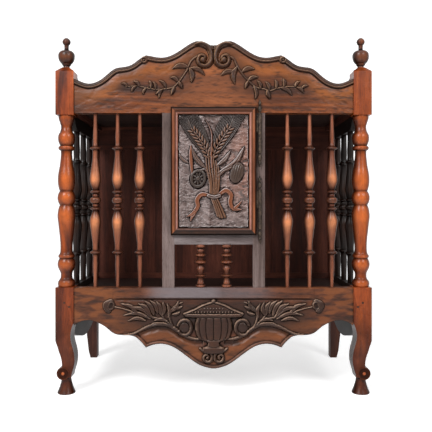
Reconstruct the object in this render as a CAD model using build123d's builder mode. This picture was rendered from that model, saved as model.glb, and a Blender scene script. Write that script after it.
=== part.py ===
from build123d import *
import os

# A walnut bread cupboard of the panetiere type: turned posts, finials and spindles, a scalloped
# crest rail and apron, and one small overlay door on two lift-off hinges.
# Millimetres, +Z up, the front faces -Y. The origin is on the floor at the middle of the case.

# Case
overall_width = 840.0
frame_depth = 430.0
joint_clearance = 0.15
end_clearance = 1.0

# Front posts: leg, lower block, turned column and top block, from one square length
post_size = 48.0
leg_height = 147.0
lower_block_height = 139.0
column_height = 459.0
top_block_height = 129.0
crown_rise = 13.0
crown_run = 15.0
column_radius = 23.8
leg_narrowing = 3.0
scroll_radius = 17.2
scroll_height = 57.0
scroll_inset = 20.0
scroll_proud = 1.5
scroll_ring_radius = 13.9
scroll_core_radius = 11.5
scroll_groove_depth = 1.6
scroll_button_radius = 5.5
foot_height = 40.0
foot_radius = 24.0

# Leg outline: share of the post in from its outer face, share of the leg's height
leg_outer_shares = [
    (0.0, 1.0), (0.05, 0.93), (0.11, 0.878), (0.19, 0.782), (0.265, 0.714), (0.32, 0.64),
    (0.348, 0.57), (0.355, 0.5),
]
leg_inner_shares = [
    (0.854, 0.313), (0.883, 0.366), (0.96, 0.452), (1.03, 0.55), (1.05, 0.65), (1.0, 0.79),
    (0.9, 0.91), (0.83, 1.03), (0.86, 1.16), (1.0, 1.3),
]
# The same leg from the side: share of the narrowing, share of the leg's height
leg_side_shares = [(0.0, 1.05), (0.25, 0.85), (0.85, 0.62), (1.0, 0.45)]

# Turned shapes: share of the length from the lower end, share of the largest radius.
# Each inner list is one smooth run, and the runs meet in crisp corners.
foot_shares = [
    [(0.0, 0.96), (0.06, 1.0)],
    [(0.06, 1.0), (0.45, 0.74), (1.0, 0.52)],
]
column_shares = [
    [(0.0, 0.88), (0.02, 0.96), (0.037, 0.86)],
    [(0.037, 0.86), (0.048, 0.69), (0.066, 0.63), (0.084, 0.68), (0.096, 0.79), (0.108, 0.9),
     (0.131, 0.99), (0.154, 0.9), (0.166, 0.78)],
    [(0.166, 0.78), (0.178, 0.91), (0.19, 0.79)],
    [(0.19, 0.79), (0.202, 0.71), (0.225, 0.68), (0.272, 0.71), (0.33, 0.83), (0.377, 0.93),
     (0.412, 1.0), (0.436, 0.965), (0.459, 0.88), (0.477, 0.745)],
    [(0.477, 0.745), (0.495, 0.92), (0.518, 1.0), (0.541, 0.93), (0.559, 0.745)],
    [(0.559, 0.745), (0.577, 0.86), (0.6, 0.94), (0.624, 0.965), (0.67, 0.886), (0.706, 0.756),
     (0.741, 0.68), (0.776, 0.62), (0.796, 0.65)],
    [(0.796, 0.65), (0.81, 0.9), (0.824, 0.7)],
    [(0.824, 0.7), (0.835, 0.8), (0.85, 0.9), (0.87, 0.94), (0.893, 0.85), (0.905, 0.72),
     (0.92, 0.64), (0.936, 0.61), (0.952, 0.69)],
    [(0.952, 0.69), (0.962, 0.74), (0.974, 0.83), (0.986, 0.88), (1.0, 0.88)],
]

# Finials, doweled into the posts
finial_height = 81.0
finial_radius = 21.8
finial_dowel_radius = 5.0
finial_dowel_length = 16.0
finial_shares = [
    [(0.0, 0.4), (0.055, 0.37)],
    [(0.055, 0.37), (0.085, 0.5), (0.13, 0.56)],
    [(0.13, 0.56), (0.2, 0.81), (0.28, 0.95), (0.37, 1.0), (0.46, 0.97), (0.53, 0.8), (0.565, 0.4)],
    [(0.565, 0.4), (0.6, 0.29), (0.66, 0.265), (0.72, 0.27), (0.759, 0.284)],
    [(0.759, 0.284), (0.8, 0.43), (0.868, 0.495), (0.945, 0.37), (1.0, 0.0)],
]

# Front rails: crest and apron, a little behind the faces of the posts
rail_setback = 4.5
rail_thickness = 28.0
rail_tenon_thickness = 10.0
rail_tenon_length = 30.0
crest_lift = 5.0
crest_height = 192.0
crest_tenon_rise = 12.0
crest_tenon_height = 60.0
crest_bead_width = 13.0
crest_bead_proud = 3.0
volute_radius = 19.0
volute_offset = 22.0
volute_drop = 49.0
volute_proud = 5.0
volute_eye_radius = 7.0
volute_eye_proud = 8.0
apron_drop = 1.0
apron_depth = 216.0
apron_tenon_drop = 14.0
apron_tenon_height = 62.0

# Right halves of the scalloped edges: share of the half length, share of the rail's height
crest_edge_shares = [
    [(0.0, 0.944), (0.03, 0.944)],
    [(0.03, 0.944), (0.07, 0.982), (0.114, 1.0), (0.17, 0.96), (0.227, 0.887), (0.298, 0.805),
     (0.37, 0.77), (0.426, 0.782), (0.483, 0.804)],
    [(0.483, 0.804), (0.54, 0.737), (0.597, 0.663), (0.655, 0.638), (0.7, 0.622), (0.74, 0.574),
     (0.795, 0.483), (0.85, 0.425), (0.895, 0.41), (0.945, 0.434), (1.0, 0.48)],
]
apron_edge_shares = [
    [(0.0, 1.0), (0.057, 0.983), (0.114, 0.943), (0.17, 0.876), (0.227, 0.803), (0.284, 0.738),
     (0.34, 0.702), (0.385, 0.695), (0.435, 0.708), (0.485, 0.742)],
    [(0.485, 0.742), (0.514, 0.68), (0.56, 0.615), (0.61, 0.589), (0.68, 0.583), (0.727, 0.552),
     (0.77, 0.49), (0.82, 0.44), (0.87, 0.408), (0.915, 0.404), (0.965, 0.43), (1.0, 0.47)],
]

# Stiles and sill that frame the door
door_opening = 209.4
stile_width = 32.0
stile_thickness = 24.0
stile_tenon_thickness = 8.0
stile_tenon_width = 22.0
stile_tenon_length = 20.0
sill_height = 32.0
sill_rise = 115.0
sill_tenon_height = 20.0
sill_tenon_length = 16.0

# Turned spindles
spindle_radius = 15.0
sill_spindle_radius = 17.0
spindle_end_radius = 4.0
spindle_end_length = 14.0
spindle_clearance = 0.1
front_spindle_place_shares = [0.259, 0.513, 0.766]
side_spindle_place_shares = [0.25, 0.5, 0.75]
sill_spindle_place_shares = [-0.333, 0.333]
side_hollow_share = 0.667

# One half of a long spindle, from its middle to its end
spindle_half_shares = [
    [(0.0, 0.98), (0.022, 0.9), (0.038, 0.5)],
    [(0.038, 0.5), (0.056, 0.54), (0.076, 0.46)],
    [(0.076, 0.46), (0.087, 0.8), (0.097, 0.92), (0.107, 0.8), (0.12, 0.5)],
    [(0.12, 0.5), (0.161, 0.72), (0.228, 1.0), (0.323, 0.87), (0.421, 0.67), (0.559, 0.5),
     (0.58, 0.54)],
    [(0.58, 0.54), (0.593, 0.9), (0.602, 0.98), (0.611, 0.86), (0.622, 0.54)],
    [(0.622, 0.54), (0.636, 0.46), (0.72, 0.43), (0.81, 0.39), (1.0, 0.34)],
]
# A short spindle under the sill, from its foot up
sill_spindle_shares = [
    [(0.0, 0.7), (0.03, 0.84), (0.07, 0.58)],
    [(0.07, 0.58), (0.13, 0.52), (0.198, 0.42), (0.24, 0.56)],
    [(0.24, 0.56), (0.262, 0.84), (0.275, 0.92), (0.288, 0.84), (0.308, 0.56)],
    [(0.308, 0.56), (0.36, 0.42), (0.39, 0.5), (0.435, 0.62), (0.48, 0.5), (0.515, 0.42),
     (0.54, 0.56)],
    [(0.54, 0.56), (0.566, 0.88), (0.59, 1.0), (0.616, 0.86), (0.645, 0.56)],
    [(0.645, 0.56), (0.675, 0.48), (0.71, 0.56)],
    [(0.71, 0.56), (0.732, 0.84), (0.75, 0.92), (0.768, 0.84), (0.79, 0.6)],
    [(0.79, 0.6), (0.825, 0.48), (0.864, 0.54), (0.895, 0.44), (0.92, 0.56)],
    [(0.92, 0.56), (0.96, 0.84), (1.0, 0.7)],
]

# Side frames
side_plane_inset = 26.0
side_rail_thickness = 18.0
side_bottom_rail_drop = 6.0
side_bottom_rail_height = 163.0
side_top_rail_drop = 29.0
side_top_rail_height = 159.0
side_tenon_thickness = 8.0
side_tenon_length = 20.0
side_tenon_back_length = 12.0
side_tenon_height = 56.0
side_top_tenon_rise = 60.0
side_bottom_tenon_drop = 16.0

# Edges of the side rails, from the front post to the middle or to where they run level
side_top_edge_shares = [
    (0.0, 1.0), (0.07, 0.99), (0.13, 0.965), (0.19, 0.91), (0.27, 0.845), (0.35, 0.82),
    (0.42, 0.87), (0.5, 0.92),
]
side_top_under_shares = [(0.0, 0.22), (0.05, 0.19), (0.11, 0.06), (0.17, 0.0)]
side_bottom_under_shares = [
    (0.0, 0.37), (0.03, 0.29), (0.08, 0.2), (0.2, 0.11), (0.35, 0.03), (0.5, 0.0),
]

# Back frame
back_post_size = 33.0
back_post_drop = 12.0
back_leg_height = 75.0
back_rail_thickness = 20.0
back_rail_inset = 2.0
back_top_rail_drop = 55.0
back_top_rail_height = 100.0
back_bottom_rail_height = 120.0
back_tenon_thickness = 8.0
back_tenon_length = 24.0
back_tenon_shoulder = 18.0
back_board_count = 4
back_board_thickness = 10.0
back_board_tongue = 8.0
back_board_gap = 0.6
back_board_lap = 6.0
# Foot of a back post: share of the post in from its outer face, share of the leg's height
back_leg_shares = [(0.36, 0.0), (0.18, 0.3), (0.0, 1.0)]

# Floor and top boards, each row on two cleats
board_thickness = 14.0
board_count = 3
board_gap = 0.5
cleat_size = 14.0
floor_drop = 18.0
top_board_rise = 21.0

# Wooden pegs through the tenons
peg_radius = 3.0
peg_clearance = 0.05
peg_proud = 0.6
peg_setback = 11.5
peg_pitch = 12.5
peg_stagger = 11.0
peg_tail = 1.5

# Door: a fielded panel with four mitred mouldings that lap over the frame
door_lap = 9.0
door_bottom_lap = 7.0
door_top_lap = 15.0
door_lip_thickness = 14.0
door_stand_off = 1.0
door_play = 1.2
door_panel_depth = 12.0
field_proud = 8.0
moulding_width = 20.0
# Section of a moulding: share of its width from the outer edge, share of its thickness
moulding_shares = [
    [(0.0, 0.0), (0.0, 0.6)],
    [(0.0, 0.6), (0.16, 0.92), (0.42, 1.0)],
    [(0.42, 1.0), (0.55, 0.96)],
    [(0.55, 0.96), (0.75, 0.78), (1.0, 0.73)],
    [(1.0, 0.73), (1.0, 0.0)],
    [(1.0, 0.0), (0.0, 0.0)],
]

# Hinges: lift-off pairs of knuckles with turned finials. Their lengths and heights are shares
# of the door's height.
hinge_drop_share = 7 / 34
hinge_rise_share = 1 / 5
knuckle_share = 13 / 85
hinge_finial_share = 19 / 170
pin_half_share = 3 / 34
hinge_radius = 5.5
hinge_edge_gap = 8.9
hinge_stand_off = 6.5
knuckle_gap = 0.3
leaf_thickness = 2.0
leaf_margin = 4.0
leaf_reach = 14.0
leaf_clearance = 0.1
pin_radius = 2.5
pin_running_clearance = 0.05
hinge_finial_shares = [
    [(0.0, 1.0), (0.03, 0.55)],
    [(0.03, 0.55), (0.08, 0.42), (0.14, 0.55)],
    [(0.14, 0.55), (0.24, 0.95), (0.36, 1.0), (0.48, 0.8), (0.56, 0.42)],
    [(0.56, 0.42), (0.64, 0.72), (0.72, 0.8), (0.8, 0.66), (0.87, 0.34)],
    [(0.87, 0.34), (0.91, 0.36), (0.96, 0.27), (1.0, 0.0)],
]

# Planes and heights that the pieces share
front_y = (door_lip_thickness - rail_setback - frame_depth) / 2
back_y = front_y + frame_depth
outer_x = overall_width / 2
post_x = outer_x - post_size / 2
post_y = front_y + post_size / 2
post_inner_x = outer_x - post_size
post_rear_y = front_y + post_size
lower_block_top = leg_height + lower_block_height
column_top = lower_block_top + column_height
post_top = column_top + top_block_height
rail_y = front_y + rail_setback
rail_mid_y = rail_y + rail_thickness / 2
rail_rear_y = rail_y + rail_thickness
crest_bottom = column_top + crest_lift
apron_top = lower_block_top - apron_drop
crest_tenon_middle = crest_bottom + crest_tenon_rise + crest_tenon_height / 2
apron_tenon_middle = apron_top - apron_tenon_drop - apron_tenon_height / 2
opening_x = door_opening / 2
stile_outer_x = opening_x + stile_width
stile_x = opening_x + stile_width / 2
stile_y = rail_y + stile_thickness / 2
sill_bottom = apron_top + sill_rise
sill_top = sill_bottom + sill_height
back_post_top = post_top - back_post_drop
side_bottom_rail_top = lower_block_top - side_bottom_rail_drop
side_top_rail_bottom = column_top - side_top_rail_drop
side_x = outer_x - side_plane_inset
side_inner_x = side_x - side_rail_thickness / 2
side_rear_y = back_y - back_post_size
side_run = side_rear_y - post_rear_y
side_top_tenon_middle = side_top_rail_bottom + side_top_tenon_rise + side_tenon_height / 2
side_bottom_tenon_middle = side_bottom_rail_top - side_bottom_tenon_drop - side_tenon_height / 2
back_inner_x = outer_x - back_post_size
back_rail_y = back_y - back_rail_inset - back_rail_thickness / 2
back_rail_front_y = back_rail_y - back_rail_thickness / 2
back_top_rail_bottom = column_top - back_top_rail_drop
boards_bottom = side_bottom_rail_top
back_rails = {
    "top": (back_top_rail_bottom, back_top_rail_height),
    "bottom": (boards_bottom - back_bottom_rail_height, back_bottom_rail_height),
}
floor_top = side_bottom_rail_top - floor_drop
top_board_bottom = column_top + top_board_rise
door_x = opening_x + door_lap
door_bottom = sill_top - door_bottom_lap
door_top = crest_bottom + door_top_lap
door_back_y = rail_y - door_stand_off
moulding_thickness = door_lip_thickness - door_stand_off
door_height = door_top - door_bottom
upper_joint = door_top - hinge_drop_share * door_height
lower_joint = door_bottom + hinge_rise_share * door_height
knuckle_length = knuckle_share * door_height
hinge_finial_length = hinge_finial_share * door_height
pin_half_length = pin_half_share * door_height
hinge_x = door_x + hinge_edge_gap
hinge_y = rail_y - hinge_stand_off
sides = {"left": -1, "right": 1}
on_end = (Align.CENTER, Align.CENTER, Align.MIN)

os.makedirs("parts", exist_ok=True)


def keep(piece, name):
    """Label a finished piece and write its file."""
    piece.part.label = name
    export_step(piece.part, f"parts/{name}.step")


def facing(y):
    """Plane of an outline seen from the front, at depth y."""
    return Plane.XZ.offset(-y)


def beside(x):
    """Plane of an outline seen from the right, at x."""
    return Plane.YZ.offset(x)


def follow(points):
    """Draw one run of an outline: two points give a line, three an arc, more a smooth curve."""
    if len(points) == 2:
        return Line(*points)
    if len(points) == 3:
        return ThreePointArc(*points)
    return Spline(*points)


def upside_down(runs):
    """The same turned shape with its ends swapped."""
    return [[(1 - along, across) for along, across in reversed(run)] for run in reversed(runs)]


def turned(x, y, foot, length, radius, runs):
    """Solid of revolution on an upright axis, from its foot up."""
    outline = [[(radius * across, length * along) for along, across in run] for run in runs]
    with BuildPart() as turning:
        with BuildSketch(Plane((x, y, foot), x_dir=(1, 0, 0), z_dir=(0, -1, 0))):
            with BuildLine():
                for run in outline:
                    follow(run)
                if outline[0][0][0] > 0:
                    Line((0, 0), outline[0][0])
                if outline[-1][-1][0] > 0:
                    Line(outline[-1][-1], (0, length))
                Line((0, length), (0, 0))
            make_face()
        revolve(axis=Axis((x, y, foot), (0, 0, 1)))
    return turning


def spindle(x, y, foot, length, radius, runs):
    """Turned spindle with a round tenon at each end."""
    body = turned(x, y, foot, length, radius, runs)
    with BuildPart() as piece:
        add(body.part)
        with Locations((x, y, foot + length / 2)):
            Cylinder(spindle_end_radius, length + 2 * spindle_end_length)
    return piece


def spindle_socket(x, y, z):
    """Bore a rail's edge at z for the round tenon of a spindle."""
    with Locations((x, y, z)):
        Cylinder(
            spindle_end_radius + spindle_clearance, 2 * (spindle_end_length + end_clearance),
            mode=Mode.SUBTRACT,
        )


def mortise(centre, across_x, across_y, across_z, grown):
    """Cut a socket for a tenon of these sizes; the axis it enters along is named in grown."""
    sizes = {"x": across_x, "y": across_y, "z": across_z}
    for axis in sizes:
        sizes[axis] += 2 * (end_clearance if axis == grown else joint_clearance)
    with Locations(centre):
        Box(sizes["x"], sizes["y"], sizes["z"], mode=Mode.SUBTRACT)


def drill(places, length):
    """Bore the peg holes: each place is a point on the face and the way into the wood."""
    for point, inward in places:
        with Locations(Plane(origin=point, z_dir=inward)):
            Cylinder(peg_radius + peg_clearance, length, align=on_end, mode=Mode.SUBTRACT)


# Places of the pegs on each side
front_peg_length = rail_setback + (rail_thickness + rail_tenon_thickness) / 2 + peg_tail
side_peg_length = side_plane_inset + side_tenon_thickness / 2 + peg_tail
back_peg_length = back_rail_inset + (back_rail_thickness + back_tenon_thickness) / 2 + peg_tail
front_pegs = {}
side_front_pegs = {}
side_back_pegs = {}
back_pegs = {}
for name, side in sides.items():
    front_pegs[name] = [
        ((side * (post_inner_x + peg_setback + step * peg_pitch), front_y,
          apron_tenon_middle + (step - 1 / 2) * peg_stagger), (0, 1, 0))
        for step in (0, 1)
    ]
    side_heights = [
        middle + rise
        for middle in (side_bottom_tenon_middle, side_top_tenon_middle)
        for rise in (-peg_pitch, peg_pitch)
    ]
    side_front_pegs[name] = [
        ((side * outer_x, post_rear_y - peg_setback, z), (-side, 0, 0)) for z in side_heights
    ]
    side_back_pegs[name] = [
        ((side * outer_x, side_rear_y + side_tenon_back_length / 2, z), (-side, 0, 0))
        for z in side_heights
    ]
    back_pegs[name] = [
        ((side * (back_inner_x + peg_setback), back_y, bottom + height / 2 + rise), (0, -1, 0))
        for bottom, height in back_rails.values()
        for rise in (-peg_pitch, peg_pitch)
    ]

# Front posts
drum_depth = post_size - 2 * (leg_narrowing - scroll_proud)
for name, side in sides.items():
    column = turned(
        side * post_x, post_y, lower_block_top, column_height, column_radius, column_shares
    )
    foot = turned(side * post_x, post_y, 0, foot_height, foot_radius, foot_shares)
    scroll_x = side * (outer_x - scroll_inset)
    outer = [(side * (outer_x - post_size * a), leg_height * h) for a, h in leg_outer_shares]
    inner = [(side * (outer_x - post_size * a), leg_height * h) for a, h in leg_inner_shares]
    nearer = [(front_y + leg_narrowing * a, leg_height * h) for a, h in leg_side_shares]
    farther = [(post_rear_y - leg_narrowing * a, leg_height * h) for a, h in leg_side_shares]
    with BuildPart() as post:
        with BuildSketch(facing(front_y)):
            with BuildLine():
                Spline(*outer)
                Polyline(outer[-1], (outer[-1][0], inner[0][1]), inner[0])
                Spline(*inner)
                Polyline(
                    inner[-1], (side * post_inner_x, lower_block_top),
                    (side * outer_x, lower_block_top), outer[0],
                )
            make_face()
        extrude(amount=-post_size)
        with BuildSketch(beside(side * post_x)):
            with BuildLine():
                Spline(*nearer)
                Polyline(nearer[-1], (nearer[-1][0], 0), (farther[-1][0], 0), farther[-1])
                Spline(*farther)
                Polyline(
                    farther[0], (post_rear_y, lower_block_top), (front_y, lower_block_top), nearer[0]
                )
            make_face()
        extrude(amount=post_size, both=True, mode=Mode.INTERSECT)
        with Locations(Plane((scroll_x, post_y, scroll_height), z_dir=(0, -1, 0))):
            Cylinder(scroll_radius, drum_depth)
        with Locations(
            Plane((scroll_x, post_y - drum_depth / 2, scroll_height), z_dir=(0, -1, 0))
        ):
            Cylinder(scroll_ring_radius, 2 * scroll_groove_depth, mode=Mode.SUBTRACT)
            Cylinder(
                scroll_core_radius, scroll_groove_depth,
                align=(Align.CENTER, Align.CENTER, Align.MAX),
            )
        with Locations(
            (scroll_x, post_y - drum_depth / 2 + scroll_groove_depth, scroll_height)
        ):
            Sphere(scroll_button_radius)
        add(foot.part)
        add(column.part)
        with Locations((side * post_x, post_y, column_top)):
            Box(post_size, post_size, top_block_height, align=on_end)
        top_face = post.faces().sort_by(Axis.Z)[-1]
        chamfer(top_face.edges(), length=crown_run, length2=crown_rise, reference=top_face)
        with Locations((side * post_x, post_y, post_top)):
            Cylinder(
                finial_dowel_radius + spindle_clearance, 2 * (finial_dowel_length + end_clearance),
                mode=Mode.SUBTRACT,
            )
        for middle, height in (
            (crest_tenon_middle, crest_tenon_height), (apron_tenon_middle, apron_tenon_height)
        ):
            mortise(
                (side * post_inner_x, rail_mid_y, middle),
                2 * rail_tenon_length, rail_tenon_thickness, height, "x",
            )
        for middle in (side_top_tenon_middle, side_bottom_tenon_middle):
            mortise(
                (side * side_x, post_rear_y, middle),
                side_tenon_thickness, 2 * side_tenon_length, side_tenon_height, "y",
            )
        drill(front_pegs[name], front_peg_length)
        drill(side_front_pegs[name], side_peg_length)
    keep(post, f"front_{name}_post")

# Finials
for name, side in sides.items():
    urn = turned(side * post_x, post_y, post_top, finial_height, finial_radius, finial_shares)
    with BuildPart() as finial:
        add(urn.part)
        with Locations((side * post_x, post_y, post_top)):
            Cylinder(
                finial_dowel_radius, finial_dowel_length,
                align=(Align.CENTER, Align.CENTER, Align.MAX),
            )
    keep(finial, f"{name}_finial")

# Crest rail, with the raised bead along its edge and the two volutes
front_bay = post_inner_x - stile_outer_x
front_spindle_xs = [
    side * (stile_outer_x + front_bay * share)
    for side in sides.values()
    for share in front_spindle_place_shares
]
sill_spindle_xs = [opening_x * share for share in sill_spindle_place_shares]
volute_z = crest_bottom + crest_height - volute_drop


def crest_edge(drop):
    """Runs of the right half of the crest's edge, lowered by drop."""
    return [
        [(post_inner_x * a, crest_bottom + crest_height * h - drop) for a, h in run]
        for run in crest_edge_shares
    ]


def stile_mortises(z):
    """Sockets for the tenons of both stiles, in the rail's edge at z."""
    for side in sides.values():
        mortise(
            (side * stile_x, stile_y, z),
            stile_tenon_width, stile_tenon_thickness, 2 * stile_tenon_length, "z",
        )


upper_edge = crest_edge(0)
bead_edge = crest_edge(crest_bead_width)
with BuildPart() as crest_rail:
    with BuildSketch(facing(rail_y)):
        with BuildLine():
            for run in upper_edge:
                follow(run)
            Polyline(upper_edge[-1][-1], (post_inner_x, crest_bottom), (0, crest_bottom))
            mirror(about=Plane.YZ)
        make_face()
    extrude(amount=-rail_thickness)
    with BuildSketch(facing(rail_y)):
        with BuildLine():
            for run in upper_edge + bead_edge:
                follow(run)
            Line(upper_edge[-1][-1], bead_edge[-1][-1])
            mirror(about=Plane.YZ)
        make_face()
    extrude(amount=crest_bead_proud)
    for side in sides.values():
        with Locations(Plane((side * volute_offset, rail_y, volute_z), z_dir=(0, -1, 0))):
            Cylinder(volute_radius, volute_proud, align=on_end)
            Cylinder(volute_eye_radius, volute_eye_proud, align=on_end)
    with Locations((0, rail_mid_y, crest_tenon_middle)):
        Box(2 * (post_inner_x + rail_tenon_length), rail_tenon_thickness, crest_tenon_height)
    stile_mortises(crest_bottom)
    for x in front_spindle_xs:
        spindle_socket(x, rail_mid_y, crest_bottom)
keep(crest_rail, "crest_rail")

# Apron rail
apron_edge = [
    [(post_inner_x * a, apron_top - apron_depth * h) for a, h in run] for run in apron_edge_shares
]
with BuildPart() as apron_rail:
    with BuildSketch(facing(rail_y)):
        with BuildLine():
            for run in apron_edge:
                follow(run)
            Polyline(apron_edge[-1][-1], (post_inner_x, apron_top), (0, apron_top))
            mirror(about=Plane.YZ)
        make_face()
    extrude(amount=-rail_thickness)
    with Locations((0, rail_mid_y, apron_tenon_middle)):
        Box(2 * (post_inner_x + rail_tenon_length), rail_tenon_thickness, apron_tenon_height)
    stile_mortises(apron_top)
    for x in front_spindle_xs:
        spindle_socket(x, rail_mid_y, apron_top)
    for x in sill_spindle_xs:
        spindle_socket(x, stile_y, apron_top)
    for places in front_pegs.values():
        drill(places, front_peg_length)
keep(apron_rail, "apron_rail")

# Front spindles
spindle_shares = [
    [(along / 2, across) for along, across in run] for run in upside_down(spindle_half_shares)
] + [[((1 + along) / 2, across) for along, across in run] for run in spindle_half_shares]
for name, side in sides.items():
    for number, share in enumerate(front_spindle_place_shares, start=1):
        front_spindle = spindle(
            side * (stile_outer_x + front_bay * share), rail_mid_y, apron_top,
            crest_bottom - apron_top, spindle_radius, spindle_shares,
        )
        keep(front_spindle, f"{name}_front_spindle_{number}")

# Door stiles
stile_length = crest_bottom - apron_top
sill_middle = (sill_bottom + sill_top) / 2
for name, side in sides.items():
    with BuildPart() as stile:
        with Locations((side * stile_x, stile_y, apron_top + stile_length / 2)):
            Box(stile_width, stile_thickness, stile_length)
            Box(stile_tenon_width, stile_tenon_thickness, stile_length + 2 * stile_tenon_length)
        mortise(
            (side * opening_x, stile_y, sill_middle),
            2 * sill_tenon_length, stile_tenon_thickness, sill_tenon_height, "x",
        )
        if name == "right":
            for joint in (upper_joint, lower_joint):
                with Locations((hinge_x, rail_y, joint - knuckle_length / 2)):
                    Box(
                        leaf_thickness + 2 * leaf_clearance,
                        2 * (leaf_reach + leaf_clearance),
                        knuckle_length - 2 * (leaf_margin - leaf_clearance),
                        mode=Mode.SUBTRACT,
                    )
    keep(stile, f"{name}_door_stile")

# Door sill and the two short spindles under it
with BuildPart() as door_sill:
    with Locations((0, stile_y, sill_middle)):
        Box(door_opening, stile_thickness, sill_height)
        Box(door_opening + 2 * sill_tenon_length, stile_tenon_thickness, sill_tenon_height)
    for x in sill_spindle_xs:
        spindle_socket(x, stile_y, sill_bottom)
keep(door_sill, "door_sill_rail")

for number, x in enumerate(sill_spindle_xs, start=1):
    sill_spindle = spindle(
        x, stile_y, apron_top, sill_rise, sill_spindle_radius, sill_spindle_shares
    )
    keep(sill_spindle, f"sill_spindle_{number}")

# Side frames, with spindles of the same outline, turned less deep in their hollows
side_spindle_shares = [
    [(along, 1 - side_hollow_share * (1 - across)) for along, across in run]
    for run in spindle_shares
]
side_spindle_ys = [post_rear_y + side_run * share for share in side_spindle_place_shares]


def from_front(shares, bottom, height):
    """Points of a side rail's edge, counted from the front post."""
    return [(post_rear_y + side_run * a, bottom + height * h) for a, h in shares]


def from_back(shares, bottom, height):
    """The same points counted from the back post, in order from front to back."""
    return [(side_rear_y - side_run * a, bottom + height * h) for a, h in reversed(shares)]


def side_tenons(x, middle):
    """Tenons of a side rail, the front one longer than the back one."""
    length = side_run + side_tenon_length + side_tenon_back_length
    with Locations((x, post_rear_y - side_tenon_length + length / 2, middle)):
        Box(side_tenon_thickness, length, side_tenon_height)


side_low = side_bottom_rail_top - side_bottom_rail_height
top_edge = from_front(side_top_edge_shares, side_top_rail_bottom, side_top_rail_height) + from_back(
    side_top_edge_shares[:-1], side_top_rail_bottom, side_top_rail_height
)
under_near = from_front(side_top_under_shares, side_top_rail_bottom, side_top_rail_height)
under_far = from_back(side_top_under_shares, side_top_rail_bottom, side_top_rail_height)
low_edge = from_front(side_bottom_under_shares, side_low, side_bottom_rail_height) + from_back(
    side_bottom_under_shares[:-1], side_low, side_bottom_rail_height
)
for name, side in sides.items():
    side_rail_x = side * side_x
    with BuildPart() as side_top_rail:
        with BuildSketch(beside(side_rail_x)):
            with BuildLine():
                Spline(*top_edge)
                Line(top_edge[-1], under_far[-1])
                Spline(*under_far)
                Line(under_far[0], under_near[-1])
                Spline(*under_near)
                Line(under_near[0], top_edge[0])
            make_face()
        extrude(amount=side_rail_thickness / 2, both=True)
        side_tenons(side_rail_x, side_top_tenon_middle)
        for y in side_spindle_ys:
            spindle_socket(side_rail_x, y, side_top_rail_bottom)
        drill(side_front_pegs[name] + side_back_pegs[name], side_peg_length)
    keep(side_top_rail, f"{name}_side_top_rail")

    with BuildPart() as side_bottom_rail:
        with BuildSketch(beside(side_rail_x)):
            with BuildLine():
                Spline(*low_edge)
                Polyline(
                    low_edge[-1], (side_rear_y, side_bottom_rail_top),
                    (post_rear_y, side_bottom_rail_top), low_edge[0],
                )
            make_face()
        extrude(amount=side_rail_thickness / 2, both=True)
        side_tenons(side_rail_x, side_bottom_tenon_middle)
        for y in side_spindle_ys:
            spindle_socket(side_rail_x, y, side_bottom_rail_top)
        drill(side_front_pegs[name] + side_back_pegs[name], side_peg_length)
    keep(side_bottom_rail, f"{name}_side_bottom_rail")

    for number, y in enumerate(side_spindle_ys, start=1):
        side_spindle = spindle(
            side_rail_x, y, side_bottom_rail_top, side_top_rail_bottom - side_bottom_rail_top,
            spindle_radius, side_spindle_shares,
        )
        keep(side_spindle, f"{name}_side_spindle_{number}")

# Back posts
for name, side in sides.items():
    taper = [
        (side * (outer_x - back_post_size * a), back_leg_height * h) for a, h in back_leg_shares
    ]
    with BuildPart() as back_post:
        with BuildSketch(facing(side_rear_y)):
            with BuildLine():
                Polyline(
                    (side * back_inner_x, 0), *taper, (side * outer_x, back_post_top),
                    (side * back_inner_x, back_post_top), close=True,
                )
            make_face()
        extrude(amount=-back_post_size)
        for middle in (side_top_tenon_middle, side_bottom_tenon_middle):
            mortise(
                (side * side_x, side_rear_y, middle),
                side_tenon_thickness, 2 * side_tenon_back_length, side_tenon_height, "y",
            )
        for bottom, height in back_rails.values():
            mortise(
                (side * back_inner_x, back_rail_y, bottom + height / 2),
                2 * back_tenon_length, back_tenon_thickness, height - 2 * back_tenon_shoulder, "x",
            )
        drill(side_back_pegs[name], side_peg_length)
        drill(back_pegs[name], back_peg_length)
    keep(back_post, f"back_{name}_post")

# Back rails, grooved for the boards
for name, (bottom, height) in back_rails.items():
    with BuildPart() as back_rail:
        with Locations((0, back_rail_y, bottom + height / 2)):
            Box(2 * back_inner_x, back_rail_thickness, height)
            Box(
                2 * (back_inner_x + back_tenon_length), back_tenon_thickness,
                height - 2 * back_tenon_shoulder,
            )
        groove_edge = back_top_rail_bottom if name == "top" else boards_bottom
        groove_depth = back_board_tongue + (end_clearance if name == "top" else 0)
        with Locations((0, back_rail_y, groove_edge)):
            Box(
                2 * back_inner_x, back_board_thickness + 2 * joint_clearance, 2 * groove_depth,
                mode=Mode.SUBTRACT,
            )
        for places in back_pegs.values():
            drill(places, back_peg_length)
    keep(back_rail, f"back_{name}_rail")

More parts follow.
